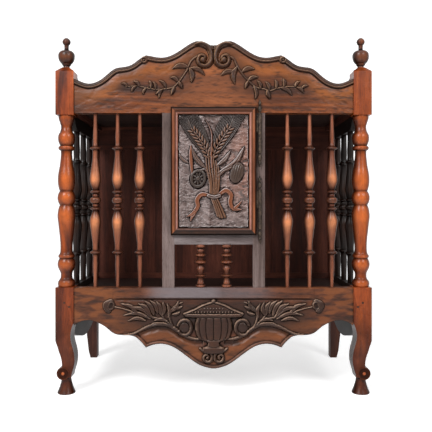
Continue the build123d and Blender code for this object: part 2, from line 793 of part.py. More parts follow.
# Back boards, each lapped over the next
board_half = back_board_thickness / 2
board_rear_y = back_rail_y + board_half
boards_foot = boards_bottom - back_board_tongue
board_width = (2 * back_inner_x - (back_board_count + 1) * back_board_gap) / back_board_count
back_board_height = back_top_rail_bottom - boards_bottom + 2 * back_board_tongue
for number in range(back_board_count):
    left_edge = -back_inner_x + back_board_gap + number * (board_width + back_board_gap)
    with BuildPart() as back_board:
        with Locations((left_edge + board_width / 2, back_rail_y, boards_foot)):
            Box(board_width, back_board_thickness, back_board_height, align=on_end)
        if number < back_board_count - 1:
            with Locations((left_edge + board_width, board_rear_y, boards_foot)):
                Box(
                    back_board_lap, board_half - joint_clearance, back_board_height,
                    align=(Align.MIN, Align.MAX, Align.MIN),
                )
        if number > 0:
            with Locations((left_edge, board_rear_y, boards_foot)):
                Box(
                    back_board_lap, board_half, back_board_height,
                    align=(Align.MIN, Align.MAX, Align.MIN), mode=Mode.SUBTRACT,
                )
    keep(back_board, f"back_board_{number + 1}")

# Floor and top boards, cut round the front posts, and the cleats that carry them
board_depth = (back_rail_front_y - rail_rear_y - (board_count + 1) * board_gap) / board_count
board_half_length = side_inner_x - board_gap
for row, bottom in (("floor", floor_top - board_thickness), ("top", top_board_bottom)):
    for number in range(board_count):
        board_front_y = rail_rear_y + board_gap + number * (board_depth + board_gap)
        with BuildPart() as board:
            with Locations((0, board_front_y + board_depth / 2, bottom)):
                Box(2 * board_half_length, board_depth, board_thickness, align=on_end)
            for side in sides.values():
                with Locations((side * post_x, post_y, bottom)):
                    Box(
                        post_size + 2 * board_gap, post_size + 2 * board_gap, 2 * board_thickness,
                        mode=Mode.SUBTRACT,
                    )
        keep(board, f"{row}_board_{number + 1}")
    for name, side in sides.items():
        with BuildPart() as cleat:
            with Locations(
                (side * (side_inner_x - cleat_size / 2), (post_rear_y + side_rear_y) / 2, bottom)
            ):
                Box(
                    cleat_size, side_run, cleat_size,
                    align=(Align.CENTER, Align.CENTER, Align.MAX),
                )
        keep(cleat, f"{name}_{row}_cleat")

# Pegs: those of the back stay flush, the others stand a little proud
peg_sets = [
    (front_pegs, front_peg_length, peg_proud),
    (side_front_pegs, side_peg_length, peg_proud),
    (side_back_pegs, side_peg_length, peg_proud),
    (back_pegs, back_peg_length, 0),
]
with BuildPart() as joint_pegs:
    for places_by_side, length, proud in peg_sets:
        for places in places_by_side.values():
            for point, inward in places:
                start = Vector(point) - Vector(inward) * proud
                with Locations(Plane(origin=start, z_dir=inward)):
                    Cylinder(peg_radius, length + proud, align=on_end)
keep(joint_pegs, "joint_pegs")

# Door panel: the back fits the opening, the field stands forward inside the mouldings
field_x = door_x - moulding_width
field_height = door_top - door_bottom - 2 * moulding_width
with BuildPart() as door_panel:
    with BuildSketch(facing(door_back_y)):
        with Locations((0, (sill_top + crest_bottom) / 2)):
            Rectangle(2 * (opening_x - door_play), crest_bottom - sill_top - 2 * door_play)
    extrude(amount=-(door_stand_off + door_panel_depth))
    with BuildSketch(facing(door_back_y)):
        with Locations((0, (door_bottom + door_top) / 2)):
            Rectangle(2 * field_x, field_height)
    extrude(amount=field_proud)
keep(door_panel, "door_panel")

# Door mouldings, run round the door from corner to corner and mitred
door_corners = {
    "bottom": ((-door_x, door_bottom), (1, 0), (0, 1), 2 * door_x),
    "right": ((door_x, door_bottom), (0, 1), (-1, 0), door_top - door_bottom),
    "top": ((door_x, door_top), (-1, 0), (0, -1), 2 * door_x),
    "left": ((-door_x, door_top), (0, -1), (1, 0), door_top - door_bottom),
}
for name, (corner, along, inward, length) in door_corners.items():
    start = Vector(corner[0], door_back_y, corner[1])
    run_dir = Vector(along[0], 0, along[1])
    in_dir = Vector(inward[0], 0, inward[1])
    with BuildPart() as moulding:
        with BuildSketch(Plane(start, x_dir=in_dir, z_dir=run_dir)):
            with BuildLine():
                for run in moulding_shares:
                    follow([(moulding_width * a, moulding_thickness * h) for a, h in run])
            make_face()
        extrude(amount=length)
        split(bisect_by=Plane(start, z_dir=run_dir - in_dir), keep=Keep.TOP)
        split(
            bisect_by=Plane(start + run_dir * length, z_dir=run_dir + in_dir), keep=Keep.BOTTOM
        )
        if name == "right":
            for joint in (upper_joint, lower_joint):
                with Locations((door_x, hinge_y, joint + knuckle_length / 2)):
                    Box(
                        2 * (leaf_reach + leaf_clearance),
                        leaf_thickness + 2 * leaf_clearance,
                        knuckle_length - 2 * (leaf_margin - leaf_clearance),
                        mode=Mode.SUBTRACT,
                    )
    keep(moulding, f"door_{name}_moulding")

# Hinges: the door half hangs over the pin that stands in the frame half
leaf_length = knuckle_length - 2 * leaf_margin
for name, joint in (("upper", upper_joint), ("lower", lower_joint)):
    crown = turned(
        hinge_x, hinge_y, joint + knuckle_length, hinge_finial_length, hinge_radius,
        hinge_finial_shares,
    )
    with BuildPart() as door_half:
        add(crown.part)
        with Locations((hinge_x, hinge_y, joint + knuckle_gap / 2)):
            Cylinder(hinge_radius, knuckle_length - knuckle_gap / 2, align=on_end)
        with Locations((hinge_x, hinge_y, joint + leaf_margin)):
            Box(
                hinge_edge_gap + leaf_reach, leaf_thickness, leaf_length,
                align=(Align.MAX, Align.CENTER, Align.MIN),
            )
        with Locations((hinge_x, hinge_y, joint)):
            Cylinder(
                pin_radius + pin_running_clearance, pin_half_length + end_clearance, align=on_end,
                mode=Mode.SUBTRACT,
            )
    keep(door_half, f"{name}_hinge_door_half")

    drop = turned(
        hinge_x, hinge_y, joint - knuckle_length - hinge_finial_length, hinge_finial_length,
        hinge_radius, upside_down(hinge_finial_shares),
    )
    with BuildPart() as frame_half:
        add(drop.part)
        with Locations((hinge_x, hinge_y, joint - knuckle_length)):
            Cylinder(hinge_radius, knuckle_length - knuckle_gap / 2, align=on_end)
        with Locations((hinge_x, hinge_y, joint - knuckle_length + leaf_margin)):
            Box(
                leaf_thickness, hinge_stand_off + leaf_reach, leaf_length,
                align=(Align.CENTER, Align.MIN, Align.MIN),
            )
        with Locations((hinge_x, hinge_y, joint)):
            Cylinder(
                pin_radius, 2 * pin_half_length, mode=Mode.SUBTRACT
            )
    keep(frame_half, f"{name}_hinge_frame_half")

    with BuildPart() as pin:
        with Locations((hinge_x, hinge_y, joint)):
            Cylinder(pin_radius, 2 * pin_half_length)
    keep(pin, f"{name}_hinge_pin")
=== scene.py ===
import math

import bmesh
import bpy
import numpy as np
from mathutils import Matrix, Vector


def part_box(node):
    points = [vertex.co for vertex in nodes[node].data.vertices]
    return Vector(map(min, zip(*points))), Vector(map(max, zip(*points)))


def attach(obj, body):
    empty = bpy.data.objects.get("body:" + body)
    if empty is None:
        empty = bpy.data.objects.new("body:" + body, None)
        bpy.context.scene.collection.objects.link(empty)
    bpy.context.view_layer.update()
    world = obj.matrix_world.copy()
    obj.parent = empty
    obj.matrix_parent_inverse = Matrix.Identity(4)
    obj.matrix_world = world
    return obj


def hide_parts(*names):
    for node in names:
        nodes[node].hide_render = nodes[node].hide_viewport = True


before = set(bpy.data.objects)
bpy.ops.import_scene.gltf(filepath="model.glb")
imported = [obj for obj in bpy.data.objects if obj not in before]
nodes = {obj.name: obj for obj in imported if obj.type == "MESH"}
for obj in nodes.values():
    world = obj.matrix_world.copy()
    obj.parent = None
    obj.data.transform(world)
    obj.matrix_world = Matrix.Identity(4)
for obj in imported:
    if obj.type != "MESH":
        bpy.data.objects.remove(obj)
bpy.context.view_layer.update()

# Camera: level with the middle of the spindles, 1.59 m in front of the posts, with the small
# shift that puts the cupboard where the photograph has it.
def put_in_scene(name, data):
    """A new object, linked to the scene."""
    thing = bpy.data.objects.new(name, data)
    bpy.context.scene.collection.objects.link(thing)
    return thing


camera_height = 0.5024
camera_distance = 1.59
camera = put_in_scene("camera", bpy.data.cameras.new("camera"))
camera.location = (0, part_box("front_left_post")[0].y - camera_distance, camera_height)
camera.rotation_euler = (math.pi / 2, 0, 0)
camera.data.sensor_width = 36
camera.data.lens = 50
camera.data.shift_x = 0.0056
camera.data.shift_y = -0.0231
bpy.context.scene.camera = camera
bpy.context.scene.view_settings.view_transform = "Standard"


# Studio: a white sweep of paper under and behind the cupboard, soft boxes in front of it and
# plain daylight all round. The sweep shows white and keeps the soft shadow of the legs.
def rgb(red, green, blue):
    """A colour as it looks on a screen, 0 to 255, in the renderer's own values."""
    shares = [channel / 255 for channel in (red, green, blue)]
    return tuple(s / 12.92 if s < 0.04045 else ((s + 0.055) / 1.055) ** 2.4 for s in shares) + (1,)


def softbox(name, place, aim, size, watts):
    """A square lamp at a place, turned to what it is aimed at."""
    lamp = bpy.data.lights.new(name, "AREA")
    lamp.size = size
    lamp.energy = watts
    box = put_in_scene(name, lamp)
    box.location = place
    box.rotation_euler = (Vector(aim) - Vector(place)).to_track_quat("-Z", "Y").to_euler()


softbox("window_left", (-1.35, -2.2, 2.1), (-0.05, 0, 0.5), 0.9, 64)
softbox("window_right", (1.4, -2.2, 1.95), (0, 0, 0.5), 0.9, 32)
softbox("ceiling", (0, -0.9, 2.6), (0, 0, 0.4), 1.8, 17)


def fresh_tree(owner):
    """The node tree of a material or a world, empty."""
    owner.use_nodes = True
    owner.node_tree.nodes.clear()
    return owner.node_tree


def add(tree, kind, **values):
    """A new node, with values for its inputs. A low line stands for the space in a name."""
    node = tree.nodes.new(kind)
    for title, value in values.items():
        node.inputs[title.replace("_", " ")].default_value = value
    return node


def join(tree, *links):
    """Link nodes, each link given as a node, its output, the next node and its input."""
    for source, output, target, socket in links:
        tree.links.new(source.outputs[output], target.inputs[socket])


def seen_as_background(tree):
    """1 for what the camera, a reflection or glass sees, 0 for the light that falls on things."""
    rays = add(tree, "ShaderNodeLightPath")
    seen, output = rays, "Is Camera Ray"
    for title in ("Is Transmission Ray", "Is Glossy Ray"):
        either = add(tree, "ShaderNodeMath")
        either.operation = "MAXIMUM"
        join(tree, (seen, output, either, 0), (rays, title, either, 1))
        seen, output = either, 0
    return seen


white = (1, 1, 1, 1)
daylight = 0.12
world = bpy.data.worlds.new("daylight")
bpy.context.scene.world = world
sky = fresh_tree(world)
room, paper = (
    add(sky, "ShaderNodeBackground", Color=white, Strength=strength) for strength in (daylight, 1)
)
choose = add(sky, "ShaderNodeMixShader")
sky_out = add(sky, "ShaderNodeOutputWorld")
join(
    sky, (seen_as_background(sky), 0, choose, 0), (room, 0, choose, 1), (paper, 0, choose, 2),
    (choose, 0, sky_out, 0),
)

sweep_width = 16.0
sweep_front = -7.0
sweep_back = 2.2
sweep_bend = 1.2
sweep_height = 4.0
bend_steps = 12
sweep_line = [(sweep_front, 0.0), (sweep_back - sweep_bend, 0.0)]
for step in range(1, bend_steps + 1):
    turn = math.pi / 2 * step / bend_steps
    sweep_line.append(
        (sweep_back - sweep_bend + sweep_bend * math.sin(turn), sweep_bend * (1 - math.cos(turn)))
    )
sweep_line.append((sweep_back, sweep_height))
sweep_mesh = bpy.data.meshes.new("paper_sweep")
sweep_mesh.from_pydata(
    [(x, y, z) for y, z in sweep_line for x in (-sweep_width / 2, sweep_width / 2)],
    [],
    [(2 * i, 2 * i + 1, 2 * i + 3, 2 * i + 2) for i in range(len(sweep_line) - 1)],
)
sweep_mesh.shade_smooth()
sweep = put_in_scene("paper_sweep", sweep_mesh)
paper_tone = (0.8, 0.8, 0.8, 1)
paper_glow = 0.66
sweep_paint = bpy.data.materials.new("white_paper")
sweep_tree = fresh_tree(sweep_paint)
matt = add(sweep_tree, "ShaderNodeBsdfDiffuse", Color=paper_tone)
glow = add(sweep_tree, "ShaderNodeEmission", Strength=paper_glow)
both, mix, sweep_out = (
    add(sweep_tree, f"ShaderNode{kind}") for kind in ("AddShader", "MixShader", "OutputMaterial")
)
join(
    sweep_tree, (matt, 0, both, 0), (glow, 0, both, 1), (seen_as_background(sweep_tree), 0, mix, 0),
    (matt, 0, mix, 1), (both, 0, mix, 2), (mix, 0, sweep_out, 0),
)
sweep.data.materials.append(sweep_paint)


# Back frame: two plain square legs, two rails and four planks of old wood, left rough and
# never polished, gone almost black inside the case. Rails are tenoned into the legs and pegged.
def wood(name, dark, middle, light, grain, gloss, relief, wax_and_shade_tone, polish_and_sheen_tone, sheen, tints=()):
    """Wood with its grain along one axis, darker in hollows with wax and painted shade, grey or pale
    where it is worn or carries a painted highlight.
    """
    material = bpy.data.materials.new(name)
    tree = fresh_tree(material)
    link = tree.links.new

    def make(kind, **values):
        return add(tree, f"ShaderNode{kind}", **values)

    along_grain = 0.07
    place = make("TexCoord")
    stretch = make("Mapping", Scale=[along_grain if axis == grain else 1.0 for axis in "xyz"])
    link(place.outputs["Object"], stretch.inputs["Vector"])

    def noise(vector, scale, detail, rough, distortion=0.0):
        texture = make(
            "TexNoise", Scale=scale, Detail=detail, Roughness=rough, Distortion=distortion
        )
        link(vector, texture.inputs["Vector"])
        return texture.outputs["Fac"]

    def ramp(value, stops):
        node = make("ValToRGB")
        elements = node.color_ramp.elements
        while len(elements) < len(stops):
            elements.new(0.5)
        for element, (position, colour) in zip(elements, stops):
            element.position = position
            element.color = colour
        link(value, node.inputs["Fac"])
        return node.outputs["Color"]

    def feed(value, socket):
        """Set a socket to a plain value, or link what comes from another node."""
        if isinstance(value, (float, tuple)):
            socket.default_value = value
        else:
            link(value, socket)

    def blend(share, first, second, mode="MIX"):
        node = make("Mix")
        node.data_type = "RGBA"
        node.blend_type = mode
        for value, socket in ((share, 0), (first, 6), (second, 7)):
            feed(value, node.inputs[socket])
        return node.outputs[2]

    def math_node(operation, first, second, clamp=True):
        node = make("Math")
        node.operation = operation
        node.use_clamp = clamp
        feed(first, node.inputs[0])
        feed(second, node.inputs[1])
        return node.outputs[0]

    def attribute(title):
        node = make("Attribute")
        node.attribute_name = title
        return node.outputs["Fac"]

    def between(value, low, high):
        node = make("MapRange", To_Min=low, To_Max=high)
        link(value, node.inputs["Value"])
        return node.outputs[0]

    def bump(height, depth, under=None):
        node = make("Bump", Strength=relief, Distance=depth)
        link(height, node.inputs["Height"])
        if under is not None:
            link(under, node.inputs["Normal"])
        return node.outputs[0]

    def grey(level):
        return (level, level, level, 1)

    figure = noise(stretch.outputs[0], 28, 5, 0.6, 1.2)
    streaks = noise(stretch.outputs[0], 190, 6, 0.7, 0.4)
    pores = noise(stretch.outputs[0], 900, 2, 0.5)
    patina = noise(place.outputs["Object"], 9, 5, 0.62, 0.3)
    knocks = noise(place.outputs["Object"], 70, 3, 0.5)

    colour = ramp(figure, ((0.3, dark), (0.5, middle), (0.72, light)))
    for share, texture, stops in (
        (0.75, streaks, ((0.28, (0.42, 0.40, 0.38, 1)), (0.62, white))),
        (0.8, pores, ((0.3, (0.3, 0.26, 0.24, 1)), (0.42, white))),
        (0.85, patina, ((0.28, (0.5, 0.46, 0.44, 1)), (0.6, white))),
    ):
        colour = blend(share, colour, ramp(texture, stops), "MULTIPLY")
    for title, tone in tints:
        uneven = ramp(knocks, ((0.2, grey(0.84)), (0.75, white)))
        colour = blend(math_node("MULTIPLY", attribute(title), uneven), colour, tone)
    rubbing_and_highlight = math_node("MULTIPLY", attribute("polish_and_sheen"), ramp(knocks, ((0.3, grey(0.5)), (0.7, white))))
    colour = blend(math_node("MULTIPLY", rubbing_and_highlight, sheen), colour, polish_and_sheen_tone)
    colour = blend(attribute("wax_and_shade"), colour, wax_and_shade_tone)

    gloss_spread = 0.14
    clean_shine, wax_and_shade_shine = 0.25, 0.04
    fibre_depth, knock_depth = 0.0006, 0.0012
    shader = make("BsdfPrincipled")
    link(colour, shader.inputs["Base Color"])
    link(between(patina, gloss, gloss + gloss_spread), shader.inputs["Roughness"])
    shine = between(attribute("wax_and_shade"), clean_shine, wax_and_shade_shine)
    link(shine, shader.inputs["Specular IOR Level"])
    fibres = bump(math_node("ADD", streaks, pores, False), fibre_depth)
    link(bump(knocks, knock_depth, fibres), shader.inputs["Normal"])
    join(tree, (shader, 0, make("OutputMaterial"), 0))
    return material


def finish_with(material, *names):
    """Give CAD nodes a finish."""
    for name in names:
        mesh = nodes[name].data
        mesh.materials.clear()
        mesh.materials.append(material)


shade = rgb(14, 7, 4)
old_tones = rgb(56, 26, 18), rgb(92, 46, 33), rgb(124, 68, 50)
old_sheen = rgb(110, 72, 52)
old_upright = wood("old_wood_upright", *old_tones, "z", 0.6, 0.5, shade, old_sheen, 0.5)
old_across = wood("old_wood_across", *old_tones, "x", 0.6, 0.5, shade, old_sheen, 0.5)
sooty_upright = wood(
    "sooty_wood_upright", rgb(40, 18, 12), rgb(70, 36, 26), rgb(96, 54, 38), "z", 0.5, 0.5, shade,
    rgb(100, 64, 46), 0.5,
)
sides = ("left", "right")
finish_with(sooty_upright, *(f"back_{side}_post" for side in sides))
finish_with(old_upright, *(f"back_board_{number}" for number in range(1, 5)))
finish_with(old_across, "back_top_rail", "back_bottom_rail")


# Front posts and finials: turned walnut, rubbed until the swellings shine, with dark wax in the
# quirks. A painted highlight lies on the swellings that face the front, painted shade in the quirks
# and on the cheeks that turn away from it, and the posts grow darker towards the feet. Each post is
# one length from top block to foot, and its finial is doweled into it.
polish_and_highlight_upright = wood(
    "polish_and_highlight_walnut_upright", rgb(84, 32, 12), rgb(160, 72, 28), rgb(208, 104, 42), "z", 0.2, 0.16,
    rgb(26, 8, 3), rgb(244, 128, 62), 0.5, (("shade_and_dark_tone", rgb(40, 14, 6)),),
)
shade_and_dark_tone_upright = wood(
    "shade_and_dark_tone_walnut_upright", rgb(46, 20, 11), rgb(92, 46, 26), rgb(134, 74, 42), "z", 0.22, 0.22,
    rgb(20, 8, 4), rgb(150, 90, 56), 0.4, (("shade_and_dark_tone", rgb(30, 13, 7)),),
)


def corners(mesh):
    """Where the corners of a mesh are."""
    return np.array([v.co for v in mesh.vertices])


def paint(mesh, title, values):
    """Keep a share on each corner of a mesh, for its wood to read."""
    layer = mesh.attributes.new(title, "FLOAT", "POINT")
    layer.data.foreach_set("value", values.astype(np.float32))


def paint_turning(mesh, levels, outline, ring_tone, where=1.0, height_darkening=0.0):
    """Wax and painted shade in the quirks, wear and a painted highlight on the swellings, darker rings,
    and painted shade on the cheeks.
    """
    samples = 600
    even = np.linspace(levels[0], levels[-1], samples)
    radii = np.interp(even, levels, outline)
    widest = radii.max()

    def average(reach):
        width = max(3, int(reach * widest / (even[1] - even[0])))
        window = np.hanning(2 * width + 1)
        return np.convolve(np.pad(radii, width, "edge"), window / window.sum(), "valid")

    heights = corners(mesh)[:, 2]
    facing = -np.array([normal.vector.y for normal in mesh.vertex_normals])
    # Shares of the widest radius: how deep a quirk is full of wax and painted shade, how far a ring
    # stands out
    quirk_reach, quirk_depth = 0.6, 0.12
    ring_reach, ring_height, ring_start = 1.2, 0.07, 1.3
    slim, fullness = 0.6, 0.4
    quirk, ring, swell = (
        np.interp(heights, even, np.clip(values, 0, 1)) * where for values in (
            (average(quirk_reach) - radii) / widest / quirk_depth,
            (radii - average(ring_reach)) / widest / ring_height - ring_start,
            (radii / widest - slim) / fullness,
        )
    )
    # Painted shade on the cheeks that turn away from the front; the painted highlight falls on
    # swellings that face it
    cheek_start, cheek_reach, cheek_tone = 0.93, 0.6, 0.95
    cheek_shade = np.clip((cheek_start - facing) / cheek_reach, 0, cheek_tone) * where
    darkening = np.maximum(np.maximum(ring_tone * ring, cheek_shade), height_darkening)
    sheen = swell**2 * (1 - ring) * (1 - darkening) * np.clip(facing, 0, 1) ** 2
    for title, values in (("wax_and_shade", quirk), ("polish_and_sheen", sheen), ("shade_and_dark_tone", darkening)):
        paint(mesh, title, values)


def welded(name, node, material, body="cabinet"):
    """A merged copy of a CAD node that stands for it, smooth where its faces meet softly."""
    merge_within = 0.00002
    soft_angle = math.radians(32)
    shape = bmesh.new()
    shape.from_mesh(nodes[node].data)
    bmesh.ops.remove_doubles(shape, verts=shape.verts, dist=merge_within)
    mesh = bpy.data.meshes.new(name)
    shape.to_mesh(mesh)
    shape.free()
    if "custom_normal" in mesh.attributes:
        mesh.attributes.remove(mesh.attributes["custom_normal"])
    mesh.materials.append(material)
    mesh.set_sharp_from_angle(angle=soft_angle)
    piece = put_in_scene(name, mesh)
    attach(piece, body)
    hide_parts(node)
    return piece


# Square of a post, how far its rings stand out from it, and its axis from the middle, in metres
post_size = 0.048
ring_proud = 0.0024
post_axis = 0.396
# Turned part of a post and of a finial, from and to, in metres
post_turning = (0.2862, 0.7448)
finial_turning = (0.8742, 0.9545)
# Darkening by height in metres
post_darkening = {
    "left": (
        (0.0, 0.9), (0.06, 0.85), (0.16, 0.5), (0.22, 0.05), (0.27, 0), (0.86, 0), (0.874, 0.5),
    ),
    "right": (
        (0.0, 0.9), (0.06, 0.85), (0.16, 0.6), (0.25, 0.05), (0.27, 0), (0.6, 0.05),
        (0.76, 0.3), (0.86, 0.35), (0.874, 0.5),
    ),
}
no_darkening = ((0, 0), (1, 0))
# Eye of the leg's scroll, and the height that its sides reach, in metres
eye_x, eye_z = 0.4, 0.057
eye_thickness = 0.006
leg_top = 0.24
# Painted shade on the leg's sides as a share, and by distance from the eye in millimetres painted
# shade in the groove round the scroll's button and a painted highlight on the button
scroll_reach = 17.3
leg_painted_light = (
    ("wax_and_shade", 0.85, (
        (0, 0), (4.4, 0), (4.8, 0.8), (11.4, 0.5), (11.6, 1), (13.8, 1), (14, 0.1),
        (scroll_reach, 0.4),
    )),
    ("polish_and_sheen", 0, ((0, 0.6), (4.4, 0.2), (4.8, 0), (scroll_reach, 0))),
    ("shade_and_dark_tone", 0.9, ((0, 0), (4.4, 0.2), (4.8, 0.8), (scroll_reach, 0.6))),
)
for side in sides:
    low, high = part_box(f"front_{side}_post")
    axis_x = math.copysign(post_axis, low.x + high.x)
    axis_y = low.y + post_size / 2 + ring_proud
    post = welded(f"{side}_turned_post", f"front_{side}_post", polish_and_highlight_upright)
    finial = welded(f"{side}_turned_finial", f"{side}_finial", shade_and_dark_tone_upright)
    for piece, (bottom, top), ring_tone, darkening in (
        (post, post_turning, 0.6, post_darkening[side]), (finial, finial_turning, 0.0, no_darkening),
    ):
        place = corners(piece.data)
        in_turning = (place[:, 2] > bottom) & (place[:, 2] < top)
        x, y, z = place[in_turning].T
        order = np.argsort(z)
        radius = np.hypot(x - axis_x, y - axis_y)
        height_darkening = np.interp(place[:, 2], *zip(*darkening))
        paint_turning(piece.data, z[order], radius[order], ring_tone, in_turning, height_darkening)

    place = corners(post.data)
    sideways = np.abs([normal.vector.x for normal in post.data.vertex_normals])
    shaded_side = np.clip(sideways * 2 - 1, 0, 1) * (place[:, 2] < leg_top)
    from_eye = np.hypot(place[:, 0] - math.copysign(eye_x, axis_x), place[:, 2] - eye_z) * 1000
    on_eye = (from_eye < scroll_reach) & (place[:, 1] < low.y + eye_thickness)
    for title, side_shade, stops in leg_painted_light:
        layer = post.data.attributes[title]
        values = np.empty(len(place), np.float32)
        layer.data.foreach_get("value", values)
        values = np.maximum(values, side_shade * shaded_side)
        values[on_eye] = np.interp(from_eye[on_eye], *zip(*stops))
        layer.data.foreach_set("value", values.astype(np.float32))


# Crest rail: one thick walnut board between the posts, sawn to its scalloped outline and carved
# in place. A bead follows the upper edge and ends in two scrolls with an olive branch each side.
def smooth_line(points, pieces=6):
    """Points of a soft curve through the given ones."""
    p = np.array(points, float)
    if len(p) < 3:
        return p
    p = np.vstack([2 * p[0] - p[1], p, 2 * p[-1] - p[-2]])
    t = np.linspace(0, 1, pieces, endpoint=False)[:, None]
    curve = [
        (2 * b + (c - a) * t + (2 * a - 5 * b + 4 * c - d) * t**2 + (3 * b - a - 3 * c + d) * t**3) / 2
        for a, b, c, d in zip(p, p[1:], p[2:], p[3:])
    ]
    return np.vstack(curve + [p[-2:-1]])


def bell(values, middle, reach, power=2):
    """1 at the middle value, fading to nothing somewhat past the reach."""
    return np.exp(-(((values - middle) / reach) ** power))


def mirrored(points, turn):
    """Points on the right of the middle for 1, on the left for -1."""
    return [(turn * x, z) for x, z in points]


def round_section(across):
    return np.sqrt(1 - across**2)


def flat_section(across):
    return 1 - across**6


def leaf_section(across):
    """Domed, with a thin vein down the middle."""
    vein_depth, vein_width = 0.3, 0.16
    return np.sqrt(1 - across**2) - vein_depth * bell(across, 0, vein_width)


class Carving:
    """A carved face seen from the front: heights in millimetres over its ground."""

    def __init__(self, left, right, bottom, top, step):
        self.left, self.bottom, self.step = left, bottom, step
        self.x, self.z = np.meshgrid(
            np.arange(left, right + step, step), np.arange(bottom, top + step, step), indexing="ij"
        )
        self.height = np.zeros_like(self.x)
        self.kind = np.zeros(self.x.shape, int)
        self.marks = np.zeros_like(self.x)

    def patch(self, points, reach):
        """The part of the raster that holds some points."""
        low = np.array(points).min(0) - reach - (self.left, self.bottom)
        high = np.array(points).max(0) + reach - (self.left, self.bottom)
        return tuple(
            slice(max(0, int(low[k] / self.step)), max(0, int(high[k] / self.step) + 2)) for k in (0, 1)
        )

    def near(self, line, patch=(slice(None), slice(None))):
        """Distance to a line, and the share of its length at the nearest point."""
        x, z = self.x[patch], self.z[patch]
        nearest, along = np.full(x.shape, 1e9), np.zeros(x.shape)
        lengths = np.hypot(*np.diff(line, axis=0).T)
        starts = np.concatenate([[0], np.cumsum(lengths)])
        for (ax, az), (bx, bz), start, length in zip(line[:-1], line[1:], starts, lengths):
            share = np.clip(((x - ax) * (bx - ax) + (z - az) * (bz - az)) / length**2, 0, 1)
            distance = np.hypot(x - ax - share * (bx - ax), z - az - share * (bz - az))
            closer = distance < nearest
            nearest[closer] = distance[closer]
            along[closer] = (start + share * length)[closer] / starts[-1]
        return nearest, along

    def from_edge(self, edge, points=260):
        """Distance to a sawn edge, taken at fewer points."""
        return self.near(edge[:: max(1, len(edge) // points)])[0]

    def lay(
        self, points, half_widths, height, section=round_section, over=False, quirk=1.4, kind=1
    ):
        """Carve a shape that follows a line, with a quirk cut round it, or lay it over others."""
        quirk_width, sunk = 2.2, 0.3
        line = smooth_line(points)
        half_widths = np.atleast_1d(half_widths).astype(float)
        patch = self.patch(line, half_widths.max() + quirk_width + self.step)
        distance, along = self.near(line, patch)
        half = np.interp(along, np.linspace(0, 1, len(half_widths)), half_widths)
        across = distance / np.maximum(half, 0.01)
        rise = height * section(np.clip(across, 0, 1))
        ground = self.height[patch]
        if over:
            self.height[patch] = np.where(across < 1, ground + rise, ground)
            return
        outside = np.clip((distance - half) / quirk_width, 0, 1)
        ground = ground - quirk * (1 - outside) ** 2 * (distance > half)
        shown = (across < 1) & (rise > ground - sunk)
        self.height[patch] = np.where(shown, np.maximum(ground, rise), ground)
        self.kind[patch][shown] = kind

    def gouge(self, seed, count, length, width, depth, lean):
        """Shallow strokes of a gouge all over the ground."""
        lean_spread, smallest, largest = 0.35, 0.6, 1.3
        chance = np.random.default_rng(seed)
        low, high = (self.x.min(), self.z.min()), (self.x.max(), self.z.max())
        for x, z, turn, size in zip(
            chance.uniform(low[0], high[0], count), chance.uniform(low[1], high[1], count),
            chance.normal(lean, lean_spread, count), chance.uniform(smallest, largest, count),
        ):
            patch = self.patch([(x, z)], length * size)
            dx, dz = self.x[patch] - x, self.z[patch] - z
            along = (dx * math.cos(turn) + dz * math.sin(turn)) / (length * size)
            across = (dz * math.cos(turn) - dx * math.sin(turn)) / (width * size)
            scoop = depth * np.clip(1 - along**2 - across**2, 0, 1)
            self.height[patch] -= scoop
            self.marks[patch] -= scoop

    def at(self, values, x, z):
        """Values of the raster between its points."""
        i = np.clip((x - self.left) / self.step, 0, values.shape[0] - 1.001)
        k = np.clip((z - self.bottom) / self.step, 0, values.shape[1] - 1.001)
        i0, k0 = i.astype(int), k.astype(int)
        i, k = i - i0, k - k0
        return (
            values[i0, k0] * (1 - i) * (1 - k) + values[i0 + 1, k0] * i * (1 - k)
            + values[i0, k0 + 1] * (1 - i) * k + values[i0 + 1, k0 + 1] * i * k
        )

    def softened(self, values, sideways, upward):
        """A raster blurred over a reach in millimetres, sideways and upward."""
        blurred = values
        for axis, reach in enumerate((sideways, upward)):
            width = max(1, round(reach / self.step))
            window = np.hanning(2 * width + 1)
            window /= window.sum()
            blurred = np.apply_along_axis(
                lambda row: np.convolve(np.pad(row, width, "edge"), window, "valid"), axis, blurred
            )
        return blurred

    def blotches(self, seed, sideways, upward):
        """Chance values blurred over a reach in millimetres, in units of their own spread."""
        chance = np.random.default_rng(seed).normal(size=self.x.shape)
        blurred = self.softened(chance, sideways, upward)
        return blurred / blurred.std()


def leaf(carving, base, tip, half_width, height, bend=0.12, section=leaf_section, kind=1):
    """A leaf from its stem to its tip, bent a little to one side."""
    base, tip = np.array(base, float), np.array(tip, float)
    along = tip - base
    middle = (base + tip) / 2 + bend * np.array((-along[1], along[0]))
    shape = half_width * np.array((0.25, 0.72, 0.98, 1.0, 0.82, 0.5, 0.08))
    carving.lay([base, middle, tip], shape, height, section, kind=kind)


